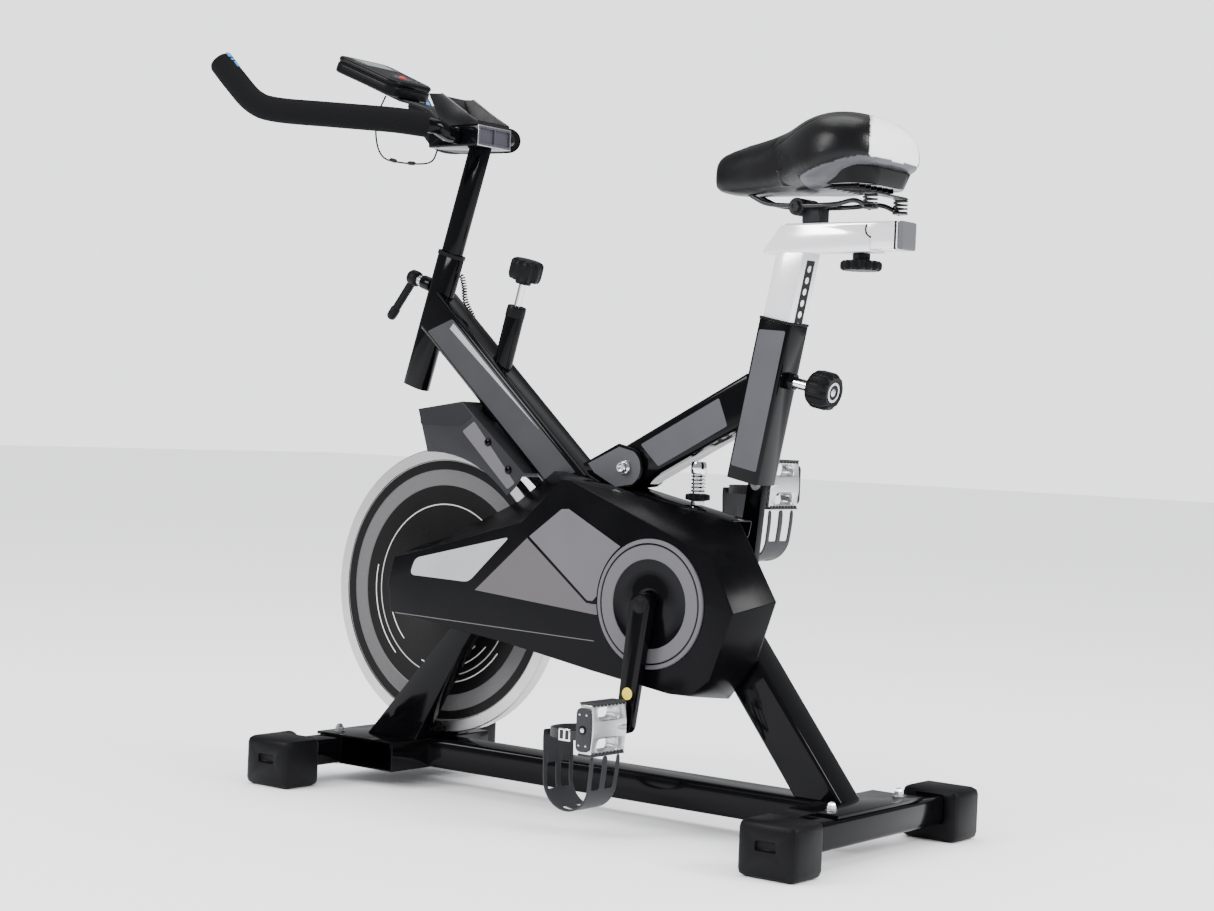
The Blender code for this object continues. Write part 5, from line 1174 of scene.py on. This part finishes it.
# seams are pressed in as shallow grooves: along the flank, round the white panel, and a centre dip
PANEL_X, PANEL_SLANT, FLANK_Z, RIM_Z = 0.4850, 0.62, 0.952, 0.9370
DIP_FROM, DIP_TO = 0.300, 0.455
SEAM_DEEP, SEAM_WIDE = 0.0011, 0.0016
outward = [vertex.normal.copy() for vertex in pad.data.vertices]
for vertex, out in zip(pad.data.vertices, outward):
    place = vertex.co.copy()
    press = 0.0
    across = abs(place.y)
    if place.z > RIM_Z:
        gap = abs(place.x - (PANEL_X + PANEL_SLANT * across))
        press += SEAM_DEEP * math.exp(-((gap / SEAM_WIDE) ** 2))
    flank = FLANK_Z + 0.35 * (place.x - 0.42)
    if 0.36 < place.x < PANEL_X and across > 0.03:
        press += SEAM_DEEP * 0.8 * math.exp(-(((place.z - flank - 0.028) / SEAM_WIDE) ** 2))
    rim = RIM_Z - 0.28 * max(0.515 - place.x, 0.0)
    if place.x > 0.425:
        press += SEAM_DEEP * math.exp(-(((place.z - rim) / SEAM_WIDE) ** 2))
    if DIP_FROM < place.x < DIP_TO and place.z > 0.95:
        share = math.sin(math.pi * (place.x - DIP_FROM) / (DIP_TO - DIP_FROM))
        press += 0.0030 * share * math.exp(-((across / 0.012) ** 2))
    vertex.co = place - out * press


def vinyl_finish():
    """Pebbled vinyl: black on the pad, white on the rear panel and grey on the bumper rim."""
    made = finish_of("saddle_vinyl", (0.0036, 0.0036, 0.0041), 0.30, grain=700.0, depth=0.05, shine=0.20)
    nodes, links = made.node_tree.nodes, made.node_tree.links
    shader = nodes["Principled BSDF"]
    black = shader.inputs["Base Color"].links[0].from_socket
    where = nodes.new("ShaderNodeTexCoord")
    pebble = nodes.new("ShaderNodeTexVoronoi")
    pebble.inputs["Scale"].default_value = 620.0
    links.new(where.outputs["Object"], pebble.inputs["Vector"])
    bumped(made, pebble.outputs["Distance"], 0.22, 0.0005)
    zone = nodes.new("ShaderNodeVertexColor")
    zone.layer_name = "zone"
    colour = nodes.new("ShaderNodeSeparateColor")
    links.new(zone.outputs["Color"], colour.inputs["Color"])
    last = black
    for channel, tone in (("Red", (0.80, 0.80, 0.81)), ("Green", (0.075, 0.075, 0.085))):
        mix = nodes.new("ShaderNodeMix")
        mix.data_type = "RGBA"
        links.new(colour.outputs[channel], mix.inputs["Factor"])
        links.new(last, mix.inputs["A"])
        mix.inputs["B"].default_value = (*tone, 1.0)
        last = mix.outputs["Result"]
    links.new(last, shader.inputs["Base Color"])
    return made


zones = pad.data.color_attributes.new("zone", "FLOAT_COLOR", "POINT")
for index, vertex in enumerate(pad.data.vertices):
    place = vertex.co
    across = abs(place.y)
    panel_edge = PANEL_X + PANEL_SLANT * across
    is_panel = 1.0 if place.x > panel_edge and place.z > RIM_Z else 0.0
    rim_top = RIM_Z - 0.28 * max(0.515 - place.x, 0.0)
    is_rim = 1.0 if place.x > 0.425 and place.z < rim_top else 0.0
    zones.data[index].color = (is_panel, is_rim * (1.0 - is_panel), 0.0, 1.0)
cover = settle(pad, "saddle_cover", "saddle_set", vinyl_finish(), 60.0)
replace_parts(cover, "saddle")

# ribbed plastic pan under the pad, seen through the open rear
pan_outline = softened([(0.372, -0.046), (0.500, -0.066), (0.520, -0.040), (0.520, 0.040), (0.500, 0.066),
                        (0.372, 0.046)], 0.012)
pan = flat_face([(x, y, 0.9035) for x, y in pan_outline])
bpy.ops.mesh.extrude_region_move(TRANSFORM_OT_translate={"value": (0, 0, 0.0230)})
bpy.ops.transform.resize(value=(1.10, 1.15, 1.0), center_override=(0.45, 0, 0.93))
close_edit()
eased(pan, 0.0020, 3)
ribs = [pan]
for y in (-0.045, -0.030, -0.015, 0.0, 0.015, 0.030, 0.045):
    ribs.append(block((0.100, 0.0022, 0.0050), (0.450, y, 0.9020), 0.0008, 2))
settle(joined(ribs), "saddle_pan", "saddle_set", gloss_black)

# stitches along the white panel's seam
stitches = []
STITCH, STITCHES = 0.0042, 16
surface_tree = [(vertex.co.copy(), vertex.normal.copy()) for vertex in cover.data.vertices
                if vertex.co.x > PANEL_X - 0.012 and vertex.co.z > RIM_Z]


def on_cover_skin(x, y):
    """Highest pad point near a place seen from above, with its normal."""
    near = [(co, normal) for co, normal in surface_tree if (co.x - x) ** 2 + (co.y - y) ** 2 < 0.0045 ** 2]
    return max(near, key=lambda pair: pair[0].z) if near else None


for step in range(-STITCHES, STITCHES + 1):
    y = step * STITCH
    found = on_cover_skin(PANEL_X + 0.0036 + PANEL_SLANT * abs(y), y)
    if found:
        co, normal = found
        stitch = block((0.0007, 0.0026, 0.0007), (0, 0, 0), 0.0002, 1)
        turn = normal.to_track_quat("Z", "Y").to_matrix().to_4x4()
        stitch.data.transform(Matrix.Translation(co + normal * 0.0002) @ turn)
        stitches.append(stitch)
thread = finish_of("grey_thread", (0.35, 0.35, 0.36), 0.75, grain=2500.0, depth=0.40)
settle(joined(stitches), "saddle_stitches", "saddle_set", thread)

# ---------------------------------------------------------------- handlebar
# Flat-sided steel post and a rectangular stem box with a plastic two-cell plug. A cross bar goes
# through the box and carries two horns with thick foam sleeves.
dressed("handlebar_post", gloss_black, 0.0006)
dressed("handlebar_stem", gloss_black, 0.0010, 3)
dressed("handlebar_bar", gloss_black, 0.0004)
stem_low, stem_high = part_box("handlebar_stem")
stem_mid = middle_of("handlebar_stem")
stem_size = stem_high - stem_low
plug_grey = finish_of("plug_grey_plastic", (0.045, 0.043, 0.055), 0.40, grain=1500.0, depth=0.12)
plug = block((0.0110, stem_size.y - 0.0044, stem_size.z - 0.0044), (stem_high.x - 0.0045, 0.0, stem_mid.z),
             0.0012)
cell_wide = stem_size.y / 2 - 0.0056
cells = [block((0.010, cell_wide, stem_size.z - 0.0096),
               (stem_high.x + 0.0015, way * (cell_wide / 2 + 0.0014), stem_mid.z), 0.0014)
         for way in (-1, 1)]
settle(bored(plug, cells), "stem_plug", "handlebar", plug_grey)
rim_piece = block((0.0012, stem_size.y - 0.0002, stem_size.z - 0.0002),
                  (stem_high.x - 0.0003, 0.0, stem_mid.z), 0.0004)
bored(rim_piece, [block((0.01, stem_size.y - 0.0040, stem_size.z - 0.0040), (stem_high.x, 0.0, stem_mid.z))])
settle(rim_piece, "stem_bare_edge", "handlebar", zinc)

foam_black = finish_of("grip_foam", (0.0046, 0.0046, 0.0052), 0.86, grain=1500.0, depth=0.42, mottle=0.25,
                       shine=0.08)
grip_nodes, grip_links = foam_black.node_tree.nodes, foam_black.node_tree.links
foam_cells = grip_nodes.new("ShaderNodeTexVoronoi")
foam_cells.inputs["Scale"].default_value = 950.0
foam_where = grip_nodes.new("ShaderNodeTexCoord")
grip_links.new(foam_where.outputs["Object"], foam_cells.inputs["Vector"])
bumped(foam_black, foam_cells.outputs["Distance"], 0.45, 0.0005)
BAR_X, BAR_Z = -0.302 + SHIFT, 1.001
BENDS = ((-0.352, 0.131, 0.015), (-0.440, 0.167, 0.022), (-0.530, 0.200, 0.030), (-0.566, 0.213, 0.043),
         (-0.600, 0.221, 0.075), (-0.630, 0.228, 0.108))
GRIP_RADIUS, GRIP_SIDES = 0.0193, 40


def sleeve_on(route, radius):
    """Foam sleeve: a circle carried along a route, with rounded ends and a small swell."""
    deselect()
    count = len(route)
    bpy.ops.mesh.primitive_grid_add(x_subdivisions=count + 5, y_subdivisions=GRIP_SIDES, size=2.0)
    piece = bpy.context.object
    last = count + 5
    rows = [(0, 0.40, 0.0), (0, 0.55, 0.0), (0, 0.88, 0.0011), (0, 1.0, 0.0040)]
    rows += [(i, 1.0, 0.0) for i in range(1, count - 1)]
    rows += [(count - 1, 1.0, -0.0060), (count - 1, 0.90, -0.0020), (count - 1, 0.55, -0.0003),
             (count - 1, 0.02, 0.0)]
    frames = []
    side_way = Vector((0, 0, 1))
    for i in range(count):
        ahead = (route[min(i + 1, count - 1)] - route[max(i - 1, 0)]).normalized()
        first = (side_way - ahead * side_way.dot(ahead)).normalized()
        frames.append((route[i], ahead, first, ahead.cross(first)))
    for vertex in piece.data.vertices:
        column = round((vertex.co.x + 1) / 2 * last)
        angle = (vertex.co.y + 1) * math.pi
        index, share, shift = rows[column]
        centre, ahead, first, second = frames[index]
        spoke = first * math.cos(angle) + second * math.sin(angle)
        vertex.co = centre + ahead * shift + spoke * radius * share
    open_edit()
    bpy.ops.mesh.remove_doubles(threshold=2e-5)
    bpy.ops.mesh.select_all(action="SELECT")
    bpy.ops.mesh.fill_holes(sides=0)
    close_edit()
    return piece


for label, way in SIDES:
    start = Vector((BAR_X - 0.008, way * 0.095, BAR_Z + 0.010))
    heading = Vector((-0.62, way * 0.78, 0.08)).normalized()
    route = smooth_route([start + heading * 0.0003, start + heading * 0.014,
                          *[Vector((x + SHIFT, way * y, BAR_Z + z)) for x, y, z in BENDS]], 7)
    grip = settle(sleeve_on(route, GRIP_RADIUS), "foam_sleeve_" + label, "handlebar", foam_black,
                  50.0)
    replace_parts(grip, "grip_" + label)

# blue flashes near both tips, printed on the foam's upper side
flash_blue = finish_of("blue_flash", (0.035, 0.16, 0.38), 0.60, grain=900.0, depth=0.25)
for label, way in SIDES:
    strips = []
    for from_share, to_share, from_turn, to_turn in ((0.14, 0.34, -12, 34), (0.40, 0.50, -14, 30),
                                                    (0.56, 0.80, 2, 26)):
        base_at = Vector((-0.600 + SHIFT, way * 0.221, BAR_Z + 0.075))
        tip_at = Vector((-0.630 + SHIFT, way * 0.228, BAR_Z + 0.108))
        ahead = (base_at - tip_at).normalized()
        upward = Vector((0.55, way * -0.35, 0.75))
        first = (upward - ahead * upward.dot(ahead)).normalized()
        second = ahead.cross(first)
        deselect()
        bpy.ops.mesh.primitive_grid_add(x_subdivisions=6, y_subdivisions=8, size=2.0)
        strip = bpy.context.object
        for vertex in strip.data.vertices:
            share = from_share + (to_share - from_share) * (vertex.co.x + 1) / 2
            turn = math.radians(from_turn + (to_turn - from_turn) * (vertex.co.y + 1) / 2) * -way
            spoke = first * math.cos(turn) + second * math.sin(turn)
            vertex.co = tip_at + ahead * (share * 0.046 - 0.004) + spoke * (GRIP_RADIUS + 0.00025)
        wall = strip.modifiers.new("film", "SOLIDIFY")
        wall.thickness = 0.0003
        apply_all(strip)
        strips.append(strip)
    settle(joined(strips), "grip_flash_" + label, "handlebar", flash_blue, 60.0)

# ---------------------------------------------------------------- clamp lever
# L-shaped plastic lever on a steel stud that clamps the handlebar post, with a bare metal ring.
LEVER_OUT = Vector((-0.9563, 0.0, 0.2924))
LEVER_AT = Vector((-0.3166, 0.0, 0.7803))
hub = turned_piece(mm((0, 30.5), (6, 30), (10, 29), (12.4, 25.5), (12.6, 16), (11.8, 12.5), (9.2, 10),
                      (0, 10)), LEVER_AT, LEVER_OUT, 48)
root = LEVER_AT + LEVER_OUT * 0.020
reach_way = Vector((-0.050, 0.0, -0.064)).normalized()
handle = bent_rod([root, root + reach_way * 0.020, root + reach_way * 0.050, root + reach_way * 0.078],
                  0.0066, "handle", 8, 6)
end_ball = turned_piece(mm((0, 0), (6.8, 0), (7.9, 2), (8, 12), (7.2, 18), (5, 20.5), (0, 21.5)),
                        root + reach_way * 0.0600, reach_way, 40)
settle(joined([hub, handle, end_ball]), "lever_arm", "lever", moulded_black, 50.0)
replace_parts(bpy.data.objects["lever_arm"], "clamp_lever")
stud_piece = turned_piece(mm((0, 10.5), (7.8, 10.5), (8, 9), (8, 1.2), (7, 0.4), (4.9, 0.2), (4.9, -17.5),
                             (0, -17.5)), LEVER_AT, LEVER_OUT, 40)
settle(stud_piece, "lever_stud", "lever", zinc)
lever_screw = turned_piece(mm((0, 30), (3, 30), (4, 30.4), (4.8, 30.8), (4.2, 31.2), (0, 31.2)), LEVER_AT,
                           LEVER_OUT, 32)
settle(lever_screw, "lever_cap", "lever", zinc)

# ---------------------------------------------------------------- console
# Moulded display housing on a bent bracket, its face tilted to the rider: dark window at the far
# end, two curved ridges round a red oval button, and a sloped tray with side walls below.
TILT = math.radians(22.0)
CONSOLE_AT = Vector((-0.490 + SHIFT, 0.0, 1.104))
LONG, WIDE, THICK = 0.130, 0.120, 0.027
normal_way = Vector((math.sin(TILT), 0.0, math.cos(TILT)))
along_way = Vector((math.cos(TILT), 0.0, -math.sin(TILT)))
console_black = finish_of("console_shell", (0.0030, 0.0030, 0.0038), 0.32, grain=1600.0, depth=0.16,
                          shine=0.12)
screen_glass = finish_of("console_window", (0.006, 0.008, 0.009), 0.06, depth=0.0, shine=0.5)
screen_grey = finish_of("display_grey", (0.16, 0.19, 0.17), 0.25, depth=0.02)
bezel_grey = finish_of("console_ridge", (0.030, 0.030, 0.033), 0.28, grain=1600.0, depth=0.10)


def on_console(along, across, up):
    """Point on the console from its centre: towards the rider, to the right, off the face."""
    return CONSOLE_AT + along_way * along + Vector((0, across, 0)) + normal_way * (THICK / 2 + up)


def console_outline():
    """Rounded housing outline, narrower at the rider's end."""
    corners = [(-LONG / 2, -WIDE / 2), (LONG / 2, -WIDE / 2 * 0.80), (LONG / 2, WIDE / 2 * 0.80),
               (-LONG / 2, WIDE / 2)]
    return softened(corners, 0.022, 8)


def console_slab(outline, up_from, up_to, edge):
    """A slab parallel to the console's face."""
    return slab([on_console(along, across, up_from) for along, across in outline],
                normal_way * (up_to - up_from), edge, 4)


def shrunk(outline, amount):
    """An outline drawn in towards its middle."""
    return [(x * (1 - amount / (LONG / 2)), y * (1 - amount / (WIDE / 2))) for x, y in outline]


lower_half = console_slab(console_outline(), -THICK + 0.0001, -0.0100, 0.0035)
upper_half = console_slab(console_outline(), -0.0094, -0.0002, 0.0050)
waist = console_slab(shrunk(console_outline(), 0.0012), -0.0105, -0.0088, 0.0)
housing = joined([lower_half, upper_half, waist])
settle(housing, "console_housing", "handlebar", console_black)
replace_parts(housing, "console")
window_piece = console_slab(softened([(-0.055, -0.044), (-0.012, -0.040), (-0.012, 0.040), (-0.055, 0.044)],
                                     0.008), -0.0006, 0.0004, 0.0003)
settle(window_piece, "console_window_pane", "handlebar", screen_glass)
display = console_slab(softened([(-0.049, -0.033), (-0.018, -0.031), (-0.018, 0.031), (-0.049, 0.033)],
                                0.004), 0.0002, 0.0006, 0.0)
settle(display, "console_display", "handlebar", screen_grey)
ridges = []
BUTTON_ALONG, RIDGE_END, RIDGE_HALF, OVAL = 0.033, 0.0585, 0.0012, 1.35
for radius in (0.020, 0.026):
    outer, inner = [arc((BUTTON_ALONG, 0.0), wide, range(-78, 79, 6), wide * OVAL)
                    for wide in (radius + RIDGE_HALF, radius - RIDGE_HALF)]
    kept = [(min(x, RIDGE_END), y) for x, y in outer + inner[::-1]]
    ridges.append(console_slab(kept, -0.0006, 0.0010, 0.0))
ridges.append(console_slab(arc((BUTTON_ALONG, 0.0), 0.0125, range(0, 360, 12), 0.0180), -0.0006, 0.0005, 0.0))
settle(joined(ridges), "console_ridges", "handlebar", bezel_grey)
button_red = finish_of("button_red", (0.52, 0.022, 0.030), 0.32, depth=0.04)
BUTTON_AT = on_console(BUTTON_ALONG, 0.0, 0.0)
cap_piece = turned_piece(mm((0, 2.6), (3.8, 2.5), (5.4, 1.9), (5.9, 1), (5.9, -3), (0, -3)), BUTTON_AT,
                         normal_way, 40)
settle(cap_piece, "button_cap", "button", button_red)
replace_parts(cap_piece, "console_button")
tray_grey = finish_of("tray_plastic", (0.0055, 0.0055, 0.0065), 0.34, grain=1500.0, depth=0.15, shine=0.2)
dressed("console_bracket", tray_grey, 0.0007)
tray_film = finish_of("tray_lilac_face", (0.12, 0.115, 0.135), 0.42, grain=1200.0, depth=0.08)
slope_outline = [(-0.264 + SHIFT, 1.0249), (-0.300 + SHIFT, 1.0468), (-0.334 + SHIFT, 1.0687),
                 (-0.338 + SHIFT, 1.0687), (-0.303 + SHIFT, 1.0463), (-0.268 + SHIFT, 1.0249)]
for label, way in SIDES:
    wall_top = plate_of(slope_outline, 0.0355 * way if way > 0 else -0.0379, 0.0024)
    settle(wall_top, "tray_edge_" + label, "handlebar", tray_film)

# ---------------------------------------------------------------- cords
# Thin console leads with moulded connectors hang behind the bar, and a short curly sensor cord is
# clipped between the head tube and the down tube.
cord_rubber = finish_of("cord_pvc", (0.012, 0.012, 0.012), 0.42, grain=1200.0, depth=0.10)


def cord_curve(points, radius, name, steps):
    """A cord as a curve of one open spline with a round section, and its length."""
    piece, length = round_curve(points, radius, name, steps, 3)
    piece.data.materials.append(cord_rubber)
    return piece, length


lead_points = [Vector((x + SHIFT, y, z)) for x, y, z in
               ((-0.470, -0.020, 1.0745), (-0.484, -0.024, 1.040), (-0.480, -0.026, 1.000),
                (-0.462, -0.027, 0.975), (-0.425, -0.028, 0.966), (-0.380, -0.029, 0.962),
                (-0.356, -0.030, 0.966), (-0.346, -0.030, 0.9835))]
lead, lead_long = cord_curve(lead_points, 0.0014, "console_lead_cord", 4)
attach(lead, "handlebar")
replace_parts(lead, "console_lead")
plugs = []
for index in (3, 4):
    from_at, to_at = lead_points[index], lead_points[index + 1]
    way_along = (to_at - from_at).normalized()
    plugs.append(turned_piece(mm((0, 0), (1.8, 0.2), (3.2, 3), (3.2, 13), (1.8, 15.8), (0, 16)),
                              from_at.lerp(to_at, 0.35), way_along, 20))
connectors = settle(joined(plugs), "lead_connectors", "handlebar", cord_rubber)

HEAD_LEAN = math.radians(17.0)
head_axis = Vector((math.sin(HEAD_LEAN), 0.0, math.cos(HEAD_LEAN)))
head_across = Vector((math.cos(HEAD_LEAN), 0.0, -math.sin(HEAD_LEAN)))
head_top_at = Vector((-0.2609, 0.0, 0.8187))
curl_start = head_top_at - head_axis * 0.020 + head_across * (0.0235 + 0.0008)
down_top = Vector((-0.2872, 0.0, 0.739)) + Vector((0.663, 0.0, 0.749)) * (0.032 + 0.0062)
curl_line = smooth_route([curl_start + Vector((0.006, 0, -0.001)), curl_start + Vector((0.012, 0, -0.020)),
                          curl_start + Vector((0.016, 0, -0.042)), down_top + Vector((0.052, 0, -0.044))], 60)
curl_total = sum((b - a).length for a, b in zip(curl_line, curl_line[1:]))
TURNS, COIL_RADIUS, COIL_WIRE = 17, 0.0034, 0.0012
coil_points = []
STEPS_PER_TURN = 14
travelled, wanted, index = 0.0, 0, 0
total_steps = TURNS * STEPS_PER_TURN
for step in range(total_steps + 1):
    goal = curl_total * step / total_steps
    while index < len(curl_line) - 2 and travelled + (curl_line[index + 1] - curl_line[index]).length < goal:
        travelled += (curl_line[index + 1] - curl_line[index]).length
        index += 1
    ahead = (curl_line[index + 1] - curl_line[index]).normalized()
    centre = curl_line[index] + ahead * (goal - travelled)
    second = Vector((0, 1, 0))
    first = second.cross(ahead).normalized()
    grow = min(step / 10.0, (total_steps - step) / 10.0, 1.0)
    angle = 2 * math.pi * step / STEPS_PER_TURN
    coil_points.append(centre + (first * math.cos(angle) + second * math.sin(angle)) * COIL_RADIUS * grow)
curl, curl_long = cord_curve(coil_points, COIL_WIRE, "curly_sensor_cord", 1)
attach(curl, "frame")
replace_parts(curl, "curly_cord")
